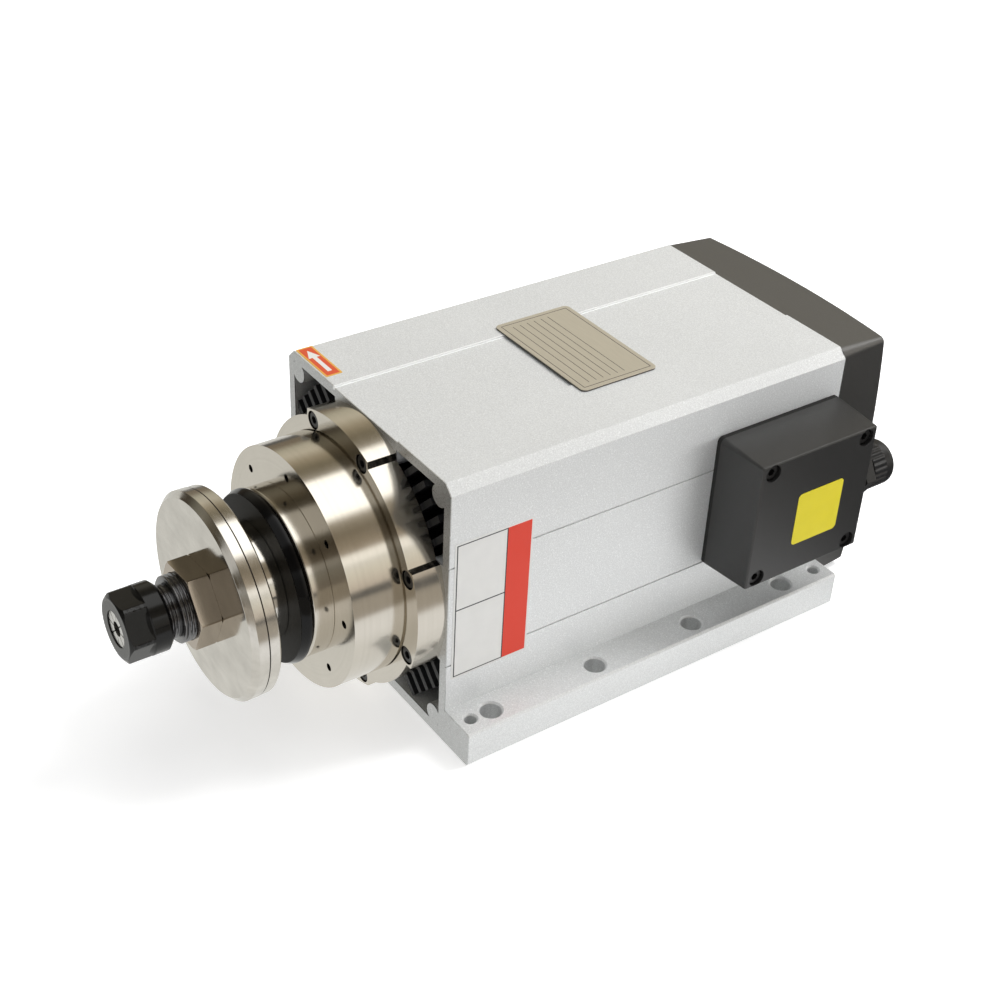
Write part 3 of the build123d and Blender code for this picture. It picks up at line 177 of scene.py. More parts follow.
class Finish(NodeTree):
    """A material under construction, with its patterns in millimetres of the object's own place."""

    def __init__(self, name, colour, roughness, metallic=0.0, **surface):
        self.material = bpy.data.materials.new(name)
        self.material.use_nodes = True
        super().__init__(self.material.node_tree)
        self.shader = self.tree.nodes["Principled BSDF"]
        self.set("Base Color", colour)
        self.set("Roughness", roughness)
        self.set("Metallic", metallic)
        for socket, value in surface.items():
            self.set(socket.replace("_", " "), value)
        self.place = self.scaled(self.node("ShaderNodeTexCoord", output="Object"), 1000.0)
        self.x, self.y, self.z = self.axes(self.place)

    def set(self, socket, value):
        self.feed(self.shader.inputs[socket], value)

    def noise(self, size, detail=2.0, where=None):
        """Soft noise from 0 to 1 whose blobs are about this many millimetres across."""
        inputs = {"Vector": where or self.place, "Scale": 1.0 / size, "Detail": detail}
        return self.node("ShaderNodeTexNoise", {}, inputs, "Fac")

    def relief(self, height, depth):
        """Raise the surface by a height from 0 to 1 times a depth in millimetres."""
        inputs = {"Height": height, "Distance": depth / 1000, "Strength": 1.0}
        self.set("Normal", self.node("ShaderNodeBump", {}, inputs, "Normal"))


def span(node):
    """Lowest and highest corner of a solid in millimetres."""
    low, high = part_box(node)
    return np.array(low) * 1000, np.array(high) * 1000


def put_in_scene(name, mesh, material, body, *nodes):
    """Make an object of a mesh, and let it ride on a body and stand for solids."""
    piece = bpy.data.objects.new(name, mesh)
    bpy.context.scene.collection.objects.link(piece)
    mesh.materials.clear()
    mesh.materials.append(material)
    mesh.shade_smooth()
    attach(piece, body)
    if nodes:
        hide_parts(*nodes)
    return piece


def soften(piece, width, angle=30):
    """Round the edges of a piece and keep its flat faces flat in the light."""
    bevel = piece.modifiers.new("edges", "BEVEL")
    bevel.width = width / 1000
    bevel.segments = 2
    bevel.limit_method = "ANGLE"
    bevel.angle_limit = math.radians(angle)
    bevel.miter_outer = "MITER_ARC"
    weights = piece.modifiers.new("flats", "WEIGHTED_NORMAL")
    weights.keep_sharp = True
    return piece


def body_of(node):
    return frame["nodes"][node]["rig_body"]


def dressed(node, material, edge):
    """A copy of a solid's mesh with its triangles merged into flat faces and its edges rounded."""
    mesh = frame["nodes"][node].data.copy()
    work = bmesh.new()
    work.from_mesh(mesh)
    bmesh.ops.remove_doubles(work, verts=work.verts, dist=2e-6)
    bmesh.ops.dissolve_limit(work, angle_limit=math.radians(0.5), verts=work.verts, edges=work.edges)
    work.to_mesh(mesh)
    work.free()
    piece = put_in_scene("dressed_" + node, mesh, material, body_of(node), node)
    return soften(piece, edge)


housing_low, housing_high = span("housing")
FRONT = housing_low[1]
AXIS_HEIGHT = (span("rotor_core")[0][2] + span("rotor_core")[1][2]) / 2
RECESS_EDGE = -23.5
RECESS_EDGE_HIGHLIGHT_REACH = 0.65


def blasted_aluminium():
    """Matt anodised grain: fine speckles and sparks over a slow change of tone, bright where it was cut,
    with a painted highlight along the lit edge of the top recess.
    """
    finish = Finish("blasted_aluminium", (0.75, 0.75, 0.74), 0.42)
    speckle = finish.noise(0.6, 2.0)
    spark = finish.noise(0.45, 0.0).above(0.68)
    patch = finish.noise(45.0, 2.0)
    cut_end = (finish.y - FRONT).below(0.4)
    # A painted highlight: a lighter line along the recess edge of the top face that faces the light.
    step = (finish.x - RECESS_EDGE).size().below(RECESS_EDGE_HIGHLIGHT_REACH) * finish.z.above(housing_high[2] - 1.5)
    tone = 0.575 + speckle * 0.3 + patch * 0.06 + spark * 0.13 + step * 0.4 - cut_end * 0.2
    finish.set("Base Color", finish.mix(tone, (0.0, 0.0, 0.0), (0.985, 1.0, 1.0)))
    finish.set("Metallic", 0.35 + cut_end * 0.4)
    finish.set("Roughness", 0.42 + speckle * 0.14 - spark * 0.1 - cut_end * 0.12)
    finish.relief(speckle, 0.015)
    return finish.material


dressed("housing", blasted_aluminium(), 0.35)

# Labels
# Thin vinyl stickers: an off-white field with a red band on the side, a turning arrow on the top edge, and
# a yellow field on the terminal box.

LABEL_THICKNESS = 0.12
SIDE_LABEL_START, SIDE_LABEL_END = 2.5, 38.5
SIDE_LABEL_LOW, SIDE_LABEL_HIGH = -31.0, 34.0
BAND_START = 26.6
DIVIDER_HEIGHT = 2.6
ARROW_LABEL_LEFT, ARROW_LABEL_RIGHT = -56.0, -31.0
ARROW_LABEL_START, ARROW_LABEL_END = 1.0, 8.5
BOX_LABEL_START, BOX_LABEL_END = 154.5, 180.0
BOX_LABEL_LOW, BOX_LABEL_HIGH = -8.0, 17.5


def label_plate(name, low, high, corner, material):
    """A thin plate between two corners, in millimetres, with rounded corners on its two wide faces.

    Its outline is four quarter turns joined by straight edges, laid in the two axes that are not its
    thin one, and drawn at both of its faces.
    """
    low, high = np.array(low, float), np.array(high, float)
    thin = int(np.argmin(high - low))
    first, second = [axis for axis in range(3) if axis != thin]
    turn = np.radians(np.arange(0, 360, 15).reshape(4, 6) + 7.5)
    sign_first = np.array([1, -1, -1, 1])[:, None]
    sign_second = np.array([1, 1, -1, -1])[:, None]
    middle, half = (low + high) / 2, (high - low) / 2 - corner
    outline = np.zeros((24, 3))
    outline[:, first] = (middle[first] + sign_first * half[first] + corner * np.cos(turn)).ravel()
    outline[:, second] = (middle[second] + sign_second * half[second] + corner * np.sin(turn)).ravel()
    bottom, top = outline.copy(), outline.copy()
    bottom[:, thin], top[:, thin] = low[thin], high[thin]
    count = len(outline)
    ring = np.arange(count)
    walls = np.stack([ring, (ring + 1) % count, (ring + 1) % count + count, ring + count], 1).tolist()
    mesh = bpy.data.meshes.new(name)
    mesh.from_pydata(np.concatenate([bottom, top]) / 1000, [],
                     [ring.tolist(), (ring + count).tolist()[::-1]] + walls)
    work = bmesh.new()
    work.from_mesh(mesh)
    bmesh.ops.recalc_face_normals(work, faces=work.faces)
    work.to_mesh(mesh)
    work.free()
    label = put_in_scene(name, mesh, material, "stator")
    label.data.set_sharp_from_angle(angle=math.radians(40))
    return label


def vinyl(name):
    """Matt printed film with a very faint mottle."""
    finish = Finish(name, (0.6, 0.6, 0.6), 0.45)
    mottle = finish.noise(6.0, 2.0)
    finish.set("Roughness", 0.4 + mottle * 0.1)
    return finish, mottle


def banded_vinyl():
    """Off-white field with a thin dark border and divider, and an orange-red band along its rear edge."""
    finish, mottle = vinyl("banded_vinyl")
    along, height = finish.y - FRONT, finish.z - AXIS_HEIGHT
    band = along.above(BAND_START)
    margin, line = 0.9, 0.5
    frame_inset = margin + line
    inside = (along.within(SIDE_LABEL_START + margin, SIDE_LABEL_END - margin)
              * height.within(SIDE_LABEL_LOW + margin, SIDE_LABEL_HIGH - margin))
    border = 1.0 - (along.within(SIDE_LABEL_START + frame_inset, BAND_START - line)
                    * height.within(SIDE_LABEL_LOW + frame_inset, SIDE_LABEL_HIGH - frame_inset))
    divider = (height - DIVIDER_HEIGHT).size().below(0.28)
    ink = ((border + divider) * inside * (1.0 - band)).clamped(0.0, 1.0)
    field = finish.mix(mottle, (0.68, 0.675, 0.655), (0.74, 0.735, 0.71))
    lined = finish.mix(ink, field, (0.02, 0.02, 0.02))
    finish.set("Base Color", finish.mix(band * inside, lined, (0.68, 0.04, 0.016)))
    return finish.material


def arrow_vinyl():
    """Red field, thin yellow edge, and a white arrow whose head is a triangle pointing at -X."""
    finish, _ = vinyl("arrow_vinyl")
    across = finish.x - ARROW_LABEL_LEFT
    along = (finish.y - FRONT - (ARROW_LABEL_START + ARROW_LABEL_END) / 2).size()
    length = ARROW_LABEL_RIGHT - ARROW_LABEL_LEFT
    half = (ARROW_LABEL_END - ARROW_LABEL_START) / 2
    field = across.within(0.8, length - 0.8) * along.below(half - 0.8)
    head = across.within(2.8, 9.0) * (along - (across - 2.8) * 0.42).below(0.0)
    stem = across.within(9.0, length - 3.6) * along.below(0.95)
    arrow = (head + stem).clamped(0.0, 1.0)
    printed = finish.mix(field, (0.75, 0.42, 0.08), (0.66, 0.09, 0.03))
    finish.set("Base Color", finish.mix(arrow, printed, (0.78, 0.76, 0.72)))
    return finish.material


def yellow_vinyl():
    """Warm yellow film."""
    finish, mottle = vinyl("yellow_vinyl")
    finish.set("Base Color", finish.mix(mottle, (0.62, 0.53, 0.015), (0.68, 0.58, 0.02)))
    return finish.material


side_wall = housing_high[2] - AXIS_HEIGHT
top_wall = housing_high[2]
box_face = span("terminal_cover")[1][0]
label_plate("side_label",
            (side_wall, FRONT + SIDE_LABEL_START, AXIS_HEIGHT + SIDE_LABEL_LOW),
            (side_wall + LABEL_THICKNESS, FRONT + SIDE_LABEL_END, AXIS_HEIGHT + SIDE_LABEL_HIGH),
            0.6, banded_vinyl())
label_plate("arrow_label",
            (ARROW_LABEL_LEFT, FRONT + ARROW_LABEL_START, top_wall),
            (ARROW_LABEL_RIGHT, FRONT + ARROW_LABEL_END, top_wall + LABEL_THICKNESS),
            0.5, arrow_vinyl())
label_plate("box_label",
            (box_face, FRONT + BOX_LABEL_START, AXIS_HEIGHT + BOX_LABEL_LOW),
            (box_face + LABEL_THICKNESS, FRONT + BOX_LABEL_END, AXIS_HEIGHT + BOX_LABEL_HIGH),
            2.0, yellow_vinyl())

# Stator casing
# A black painted aluminium casting with diagonal fins in the corners of the housing. Its front end
# was turned after painting, so the tips of the fins show bare metal where the bell sits.

CASING_TURNED_RADIUS = 56.4
CASING_TURNED_BAND = 1.6


def radius_of(finish):
    """Distance from the spindle axis in millimetres."""
    height = finish.z - AXIS_HEIGHT
    return (finish.x * finish.x + height * height) ** 0.5


def painted_casting():
    """Black paint with a cast orange-peel grain, and bare metal on the turned end."""
    finish = Finish("painted_casting", (0.02, 0.02, 0.021), 0.5, Specular_IOR_Level=0.25)
    grain = finish.noise(1.3, 3.0)
    radius = radius_of(finish)
    front_end = (finish.y - span("stator_casing")[0][1]).below(0.25)
    bare = front_end * radius.within(CASING_TURNED_RADIUS - CASING_TURNED_BAND, CASING_TURNED_RADIUS)
    paint = finish.mix(grain, (0.012, 0.0125, 0.013), (0.024, 0.025, 0.027))
    finish.set("Base Color", finish.mix(bare * 0.1, paint, (0.5, 0.48, 0.45)))
    finish.set("Roughness", 0.36 + grain * 0.2)
    finish.relief(grain, 0.15)
    return finish.material


casting = painted_casting()
dressed("stator_casing", casting, 0.3)

# Stator and rotor inside the casing
# Stacked electrical sheets, varnished copper end windings, and a cast aluminium cage on the rotor.
# They are pressed in and hidden, and keep their plain solids.


def stacked_sheets():
    """Half-millimetre sheets: fine dark lines across the axis."""
    finish = Finish("stacked_sheets", (0.3, 0.3, 0.31), 0.45, 0.85)
    line = (finish.y * 2.0).fraction().above(0.8)
    finish.set("Base Color", finish.mix(line, (0.34, 0.34, 0.36), (0.12, 0.12, 0.13)))
    return finish.material


def varnished_copper():
    """Bundles of round wire under amber varnish."""
    finish = Finish("varnished_copper", (0.5, 0.2, 0.08), 0.35, 0.6)
    height = finish.z - AXIS_HEIGHT
    turn = height.angle_over(finish.x)
    strands = finish.noise(1.0, 2.0, finish.vector(turn * 90.0, finish.y * 0.3, radius_of(finish) * 0.6))
    finish.set("Base Color", finish.mix(strands, (0.3, 0.1, 0.03), (0.72, 0.34, 0.14)))
    finish.relief(strands, 0.5)
    return finish.material


def cast_aluminium():
    """Bare die-cast aluminium with a fine pebbled skin."""
    finish = Finish("cast_aluminium", (0.6, 0.6, 0.6), 0.5, 0.9)
    grain = finish.noise(0.8, 3.0)
    finish.set("Base Color", finish.mix(grain, (0.5, 0.5, 0.5), (0.68, 0.68, 0.67)))
    finish.relief(grain, 0.08)
    return finish.material


def paint_solids(material, *nodes):
    """Give solids that stay as they are a finish."""
    for node in nodes:
        mesh = frame["nodes"][node].data
        mesh.materials.clear()
        mesh.materials.append(material)


paint_solids(stacked_sheets(), "stator_core", "rotor_core")
paint_solids(varnished_copper(), "winding_front", "winding_rear")
bare_casting = cast_aluminium()
paint_solids(bare_casting, "rotor_ring_front", "rotor_ring_rear", "rear_bell")

# Front bell
# Turned from one billet: a flange with four corner steps that leave the air channels open, a barrel that
# holds the bearing pair, eight counterbored screw holes and eight tapped holes for a guard ring.

TURN_SIDES = 240
DRILL_SIDES = 40


def turned_steel(name, colour, roughness, feed=0.14, stain=0.12):
    """Fine rings left by the turning tool, the same all round, with faint handling stains."""
    finish = Finish(name, colour, roughness, 1.0)
    radius = radius_of(finish)
    rings = finish.noise(feed, 2.0, finish.vector(radius, finish.y, 0.0))
    wide = finish.noise(feed * 9.0, 1.0, finish.vector(radius, finish.y, 0.0))
    cloud = finish.noise(9.0, 3.0)
    dark = tuple(channel * (1.0 - stain) for channel in colour)
    light = tuple(min(channel * (1.0 + stain * 0.5), 1.0) for channel in colour)
    finish.set("Base Color", finish.mix(rings * 0.3 + wide * 0.35 + cloud * 0.35, dark, light))
    finish.set("Roughness", roughness * 0.7 + cloud * roughness * 0.5 + rings * 0.06)
    finish.relief(rings * 0.7 + wide * 0.3, 0.006)
    return finish.material


def ringed_mesh(name, stations, radii, closed=True):
    """Surface on a grid of rings: row k stands at stations[k] along Y with radii[k] round the axis.

    Both may be one number for a ring or one number for each of its sides. A closed outline joins its
    last ring to its first; an open one starts and ends at radius zero.
    """
    stations = np.asarray(stations, float)
    radii = np.asarray(radii, float)
    sides = stations.shape[1] if stations.ndim > 1 else TURN_SIDES
    turn = np.linspace(0, 2 * math.pi, sides, endpoint=False)
    along = np.broadcast_to(stations.reshape(len(stations), -1), (len(stations), sides))
    out = np.broadcast_to(radii.reshape(len(radii), -1), (len(radii), sides))
    points = np.stack([out * np.cos(turn), along, AXIS_HEIGHT + out * np.sin(turn)], axis=-1)
    here = np.arange(len(stations) * sides).reshape(-1, sides)
    below = np.roll(here, -1, axis=0)
    faces = np.stack([here, np.roll(here, -1, axis=1), np.roll(below, -1, axis=1), below], axis=-1)
    faces = faces if closed else faces[:-1]
    mesh = bpy.data.meshes.new(name)
    mesh.from_pydata(points.reshape(-1, 3) / 1000, [], faces.reshape(-1, 4).tolist())
    work = bmesh.new()
    work.from_mesh(mesh)
    bmesh.ops.remove_doubles(work, verts=work.verts, dist=1e-7)
    bmesh.ops.recalc_face_normals(work, faces=work.faces)
    work.to_mesh(mesh)
    work.free()
    return mesh


def turned(node, outline, material, edge):
    """A turned piece that stands for a solid. The outline is (millimetres from its front, radius)."""
    front = span(node)[0][1]
    stations, radii = np.array(outline, float).T
    mesh = ringed_mesh("turned_" + node, front + stations, radii)
    return soften(put_in_scene("turned_" + node, mesh, material, body_of(node), node), edge)


def drilled(piece, holes):
    """Cut round holes along Y. A hole is (x, height from the axis, profile of (station, radius)).

    A drill carries its profile round the middle of its hole, and a lid closes each of its ends.
    """
    turn = np.linspace(0, 2 * math.pi, DRILL_SIDES, endpoint=False)
    points, faces, count = [], [], 0
    for x, height, profile in holes:
        stations, radii = np.array(profile, float).T[..., None]
        rings = np.stack([x + radii * np.cos(turn), stations + 0 * turn,
                          AXIS_HEIGHT + height + radii * np.sin(turn)], axis=-1)
        here = count + np.arange(rings[..., 0].size).reshape(-1, DRILL_SIDES)
        beside = np.roll(here, -1, axis=1)
        walls = np.stack([here[:-1], beside[:-1], beside[1:], here[1:]], axis=-1)
        points.append(rings.reshape(-1, 3))
        faces += walls.reshape(-1, 4).tolist() + [here[0].tolist(), here[-1].tolist()]
        count += here.size
    cutter_mesh = bpy.data.meshes.new("drill")
    cutter_mesh.from_pydata(np.concatenate(points) / 1000, [], faces)
    work = bmesh.new()
    work.from_mesh(cutter_mesh)
    bmesh.ops.recalc_face_normals(work, faces=work.faces)
    work.to_mesh(cutter_mesh)
    work.free()
    cutter = bpy.data.objects.new("drill", cutter_mesh)
    bpy.context.scene.collection.objects.link(cutter)
    cut = piece.modifiers.new("holes", "BOOLEAN")
    cut.object = cutter
    cut.solver = "EXACT"
    piece.modifiers.move(len(piece.modifiers) - 1, 0)
    others = [modifier for modifier in piece.modifiers if modifier != cut]
    for modifier in others:
        modifier.show_viewport = False
    bpy.context.view_layer.update()
    result = bpy.data.meshes.new_from_object(piece.evaluated_get(bpy.context.evaluated_depsgraph_get()))
    piece.modifiers.remove(cut)
    for modifier in others:
        modifier.show_viewport = True
    piece.data = result
    bpy.data.objects.remove(cutter)
    return piece


bell_low, bell_high = span("front_bell")
FLANGE_RADIUS = (bell_high[0] - bell_low[0]) / 2
FLANGE_FRONT = FRONT - bell_low[1] - 12.5
NOTCH_RADIUS = 56.2
SECTOR_HALF_ANGLE = 23.0
BARREL_RADIUS = 50.0
SCREW_CIRCLE = 54.3
SCREW_ANGLE = 19.5
GUARD_HOLE_CIRCLE = 42.0

bright_steel = turned_steel("bright_turned_steel", (0.66, 0.62, 0.55), 0.13, 0.14, 0.16)


def flange_radius():
    """Radius of the flange at each side: full in the four sectors and stepped down between them."""
    turn = np.linspace(0, 360, TURN_SIDES, endpoint=False)
    from_axis = np.abs((turn + 45) % 90 - 45)
    return np.where(from_axis <= SECTOR_HALF_ANGLE, FLANGE_RADIUS, NOTCH_RADIUS)


def make_front_bell():
    """Barrel, relief, stepped flange and register, with their screw holes."""
    rear = FRONT - bell_low[1]
    step = flange_radius()
    level = np.ones(TURN_SIDES)
    register = bell_high[1] - bell_low[1]
    relief = FLANGE_FRONT - 0.8
    outline = [(0, 31.0), (0, BARREL_RADIUS), (relief, BARREL_RADIUS), (relief, BARREL_RADIUS - 1.0),
               (FLANGE_FRONT, BARREL_RADIUS - 1.0), (FLANGE_FRONT, step), (rear, step), (rear, 44.8),
               (register, 44.8), (register, 38.8), (rear, 38.8), (rear, 27.0), (rear - 3, 27.0),
               (rear - 3, 31.0)]
    stations = np.stack([bell_low[1] + station * level for station, radius in outline])
    radii = np.stack([radius * level for station, radius in outline])
    mesh = ringed_mesh("turned_front_bell", stations, radii)
    bell = put_in_scene("turned_front_bell", mesh, bright_steel, "stator", "front_bell")
    face = bell_low[1] + FLANGE_FRONT
    screw_hole = [(face - 1, 3.9), (face + 4.4, 3.9), (face + 4.4, 2.1), (FRONT + 1, 2.1)]
    guard_hole = [(bell_low[1] - 1, 1.65), (bell_low[1] + 10, 1.65)]
    circles = [(SCREW_CIRCLE, 90 * side + offset, screw_hole) for side in range(4)
               for offset in (-SCREW_ANGLE, SCREW_ANGLE)]
    circles += [(GUARD_HOLE_CIRCLE, 45 * index, guard_hole) for index in range(8)]
    holes = [(circle * math.cos(math.radians(angle)), circle * math.sin(math.radians(angle)), profile)
             for circle, angle, profile in circles]
    soften(bell, 0.4, 40)
    return drilled(bell, holes)


make_front_bell()

# Black socket screws
# Class 12.9 cap screws with a black oxide finish. They hold the bell, the rear bell, the fan, the fan
# cover and the terminal box, each sunk in its own counterbore.


def black_oxide(name, colour=0.035, roughness=0.36):
    """Oiled black oxide on steel: dark, faintly brown, glossier where it was rubbed."""
    finish = Finish(name, (colour, colour, colour), roughness, 0.2)
    cloud = finish.noise(3.0, 3.0)
    dark = (colour * 0.7, colour * 0.68, colour * 0.66)
    rubbed = (colour * 1.5, colour * 1.45, colour * 1.4)
    finish.set("Base Color", finish.mix(cloud, dark, rubbed))
    finish.set("Roughness", roughness - 0.06 + cloud * 0.14)
    finish.relief(finish.noise(0.25, 2.0), 0.01)
    return finish.material


screw_black = black_oxide("screw_black_oxide", 0.012, 0.34)
for screws in ("flange_screws", "terminal_cover_screws", "cover_screws"):
    dressed(screws, screw_black, 0.12)
paint_solids(screw_black, "rear_bell_screws", "fan_screw")

# Front cap and dust ring
# The cap is a turned boss screwed into the barrel. A black anodised ring turns with the shaft in front
# of it, with a matt face and a polished bevel, and keeps dust out of the labyrinth.

cap_low, cap_high = span("front_cap")
ring_low, ring_high = span("dust_ring")


def black_anodised():
    """Black ring: matt turned face, polished rim."""
    finish = Finish("black_anodised", (0.003, 0.003, 0.0033), 0.4, 0.0, Specular_IOR_Level=0.2)
    radius = radius_of(finish)
    rings = finish.noise(0.25, 2.0, finish.vector(radius, finish.y, 0.0))
    rim = radius.above((ring_high[0] - ring_low[0]) / 2 - 1.3)
    finish.set("Roughness", 0.42 + rings * 0.1 - rim * 0.36)
    finish.relief(rings, 0.006)
    return finish.material


turned("front_cap", [(0, 22.5), (0, 34.1), (1.0, 35.1), (9.1, 35.1), (9.1, 31.0), (12.6, 31.0),
                     (12.6, 27.0), (9.1, 22.5)], bright_steel, 0.25)
turned("dust_ring", [(0, 17.5), (0, 34.6), (2.6, 35.8), (4.1, 35.8), (4.1, 22.0), (16.5, 22.0),
                     (16.5, 20.5), (17.5, 20.5), (17.5, 17.5)], black_anodised(), 0.25)

# Bearings
# An angular-contact pair in the barrel and one deep-groove bearing at the rear: ground and polished
# rings and balls, with moulded cages. They are hidden and keep their solids.


def polished_bearing_steel():
    """Ground and lapped steel under a smear of grease."""
    finish = Finish("polished_bearing_steel", (0.72, 0.72, 0.73), 0.12, 1.0)
    smear = finish.noise(2.0, 2.0)
    finish.set("Roughness", 0.08 + smear * 0.1)
    finish.set("Base Color", finish.mix(smear, (0.66, 0.66, 0.67), (0.78, 0.78, 0.79)))
    return finish.material


def moulded_cage():
    """Tan glass-filled nylon."""
    finish = Finish("moulded_cage", (0.55, 0.38, 0.2), 0.5)
    grain = finish.noise(0.9, 2.0)
    finish.set("Base Color", finish.mix(grain, (0.48, 0.33, 0.17), (0.6, 0.43, 0.24)))
    finish.relief(grain, 0.05)
    return finish.material


bearings = ("front_bearing_1", "front_bearing_2", "rear_bearing")
bearing_steel = polished_bearing_steel()
paint_solids(bearing_steel,
             *(f"{name}_{part}" for name in bearings for part in ("outer", "inner", "balls")))
paint_solids(moulded_cage(), *(f"{name}_cage" for name in bearings))
paint_solids(bearing_steel, "preload_spring", "rear_circlip")

# Shaft
# One ground steel shaft. In front of the saw-flange seat it carries the thread of the clamping nut, a
# relief, and the thread of the collet nut, both of 1.5 mm pitch, oiled and dark in their roots.

shaft_low, shaft_high = span("shaft")
THREAD_PITCH = 1.5
THREAD_DEPTH = 0.75
THREAD_ROWS_PER_PITCH = 10


def ground_shaft():
    """Ground steel, darker and oiled on the threads."""
    finish = Finish("ground_shaft", (0.3, 0.3, 0.3), 0.25, 1.0)
    cloud = finish.noise(5.0, 2.0)
    threads = radius_of(finish).within(7.0, 13.55) * (finish.y - FRONT).below(-60.0)
    steel = finish.mix(cloud, (0.3, 0.3, 0.3), (0.42, 0.42, 0.42))
    oiled = finish.mix(cloud, (0.14, 0.14, 0.145), (0.24, 0.24, 0.245))
    finish.set("Base Color", finish.mix(threads, steel, oiled))
    finish.set("Roughness", 0.2 + cloud * 0.1)
    return finish.material


def make_shaft():
    """Rings along the whole shaft. In a thread, the radius follows a ridge that climbs one pitch a turn."""
    nose = shaft_low[1]
    clamp_front = span("clamp_nut")[0][1] - 4.6
    arbor_front = span("outer_flange")[0][1] + 0.5
    dust_front = span("dust_ring")[0][1]
    threads = [(nose + 0.8, clamp_front - 1.2, 11.0), (clamp_front + 0.6, arbor_front, 13.5)]
    steps = [(nose, 6.3), (nose, 10.2), (nose + 0.8, 11.0), (clamp_front - 1.2, 11.0),
             (clamp_front - 1.2, 10.2), (clamp_front, 10.2), (clamp_front, 12.9),
             (clamp_front + 0.6, 13.5), (arbor_front, 13.5), (arbor_front, 15.0), (dust_front, 15.0),
             (dust_front, 17.5), (FRONT - 3, 17.5), (FRONT - 3, 21.5), (FRONT + 6, 21.5),
             (FRONT + 6, 18.0), (FRONT + 153, 18.0), (FRONT + 153, 12.5), (FRONT + 190.5, 12.5),
             (FRONT + 190.5, 7.0), (shaft_high[1], 7.0), (shaft_high[1], 0.0)]
    stations, radii, ridged = [], [], []
    for (start, radius), (end, next_radius) in zip(steps, steps[1:]):
        thread = any(start >= low - 0.01 and end <= high + 0.01 for low, high, _ in threads) and end > start
        count = int((end - start) / THREAD_PITCH * THREAD_ROWS_PER_PITCH) if thread else 1
        share = np.arange(count) / count
        stations.append(start + (end - start) * share)
        radii.append(radius + (next_radius - radius) * share)
        fade = np.clip(np.minimum(share, 1 - share) * count / THREAD_ROWS_PER_PITCH * 2, 0, 1)
        ridged.append(fade if thread else np.zeros(count))
    socket = [(nose + 36, 0.0), (nose + 36, 4.5), (nose + 20, 5.2), (nose, 8.2)]
    stations = np.concatenate([[s for s, _ in socket], *stations, [shaft_high[1]]])
    radii = np.concatenate([[r for _, r in socket], *radii, [0.0]])
    ridged = np.concatenate([np.zeros(len(socket)), *ridged, [0.0]])
    turn = np.linspace(0, 1, TURN_SIDES, endpoint=False)
    phase = (stations[:, None] / THREAD_PITCH - turn) % 1
    groove = np.clip(1.25 - np.abs(2 * phase - 1) * 1.5, 0, 1)
    mesh = ringed_mesh("threaded_shaft", np.repeat(stations[:, None], TURN_SIDES, 1),
                       radii[:, None] - THREAD_DEPTH * ridged[:, None] * (1 - groove), closed=False)
    shaft = put_in_scene("threaded_shaft", mesh, ground_shaft(), "rotor", "shaft")
    shaft.modifiers.new("flats", "WEIGHTED_NORMAL").keep_sharp = True
    mesh.set_sharp_from_angle(angle=math.radians(50))
    return shaft


make_shaft()

# Saw flanges
# A pair of turned discs on the 30 mm arbor. The inner one is fixed against the dust ring; the outer one
# is loose, and its front is polished so well that the nut is mirrored in it, under a haze of handling.

FLANGE_RIM_RADIUS = 41.0
FLANGE_JOINT_RADIUS = 42.05


def polished_flange():
    """Mirror-turned disc: handling clouds and wiping streaks dull it a little, and a painted shadow darkens
    the groove where the two discs meet.
    """
    finish = Finish("polished_flange_steel", (0.66, 0.63, 0.57), 0.1, 1.0)
    radius = radius_of(finish)
    rings = finish.noise(0.2, 2.0, finish.vector(radius, finish.y, 0.0))
    haze = finish.noise(12.0, 4.0)
    streak = finish.noise(3.0, 3.0, finish.vector(finish.x * 0.3 + finish.z * 0.12, finish.y, finish.z))
    rim = radius.above(FLANGE_RIM_RADIUS)
    # A painted shadow: dark base colour and high roughness in a thin band at the groove where the two discs
    # meet.
    joint_shade = radius.above(FLANGE_JOINT_RADIUS) * (finish.y - span("inner_flange")[0][1]).size().below(0.3)
    steel = finish.mix(haze * 0.7 + streak * 0.3, (0.4, 0.378, 0.34), (0.84, 0.81, 0.75))
    finish.set("Base Color", finish.mix(joint_shade, steel, (0.05, 0.045, 0.04)))
    finish.set("Roughness", 0.05 + haze * 0.07 + streak * 0.05 + rim * 0.06 + joint_shade * 0.4)
    finish.relief(rings * 0.7 + streak * 0.3, 0.002)
    return finish.material


flange_steel = polished_flange()
turned("inner_flange", [(0, 15.0), (0, 42.3), (4.2, 42.3), (5.0, 41.5), (5.0, 24.5), (17.3, 24.5),
                        (17.3, 15.0)], flange_steel, 0.2)
turned("outer_flange", [(0, 15.05), (0, 40.2), (2.3, 42.5), (6.5, 42.5), (6.5, 15.05)],
       flange_steel, 0.15)

# Clamping nut
# A hexagon nut, 31 mm across flats, that presses the loose flange on. It is ground steel, chamfered on
# both faces.

NUT_SIDES = 240
CLAMP_NUT_FLATS = 31.0
CLAMP_NUT_TURN = 5.0


def hexagon_reach(across_flats, sides, turned_by=0.0):
    """Flat-to-centre distance over the cosine of the angle from the nearest flat's middle."""
    turn = np.linspace(0, 2 * math.pi, sides, endpoint=False) - math.radians(turned_by)
    from_flat = (turn % (math.pi / 3)) - math.pi / 6
    return across_flats / 2 / np.cos(from_flat)


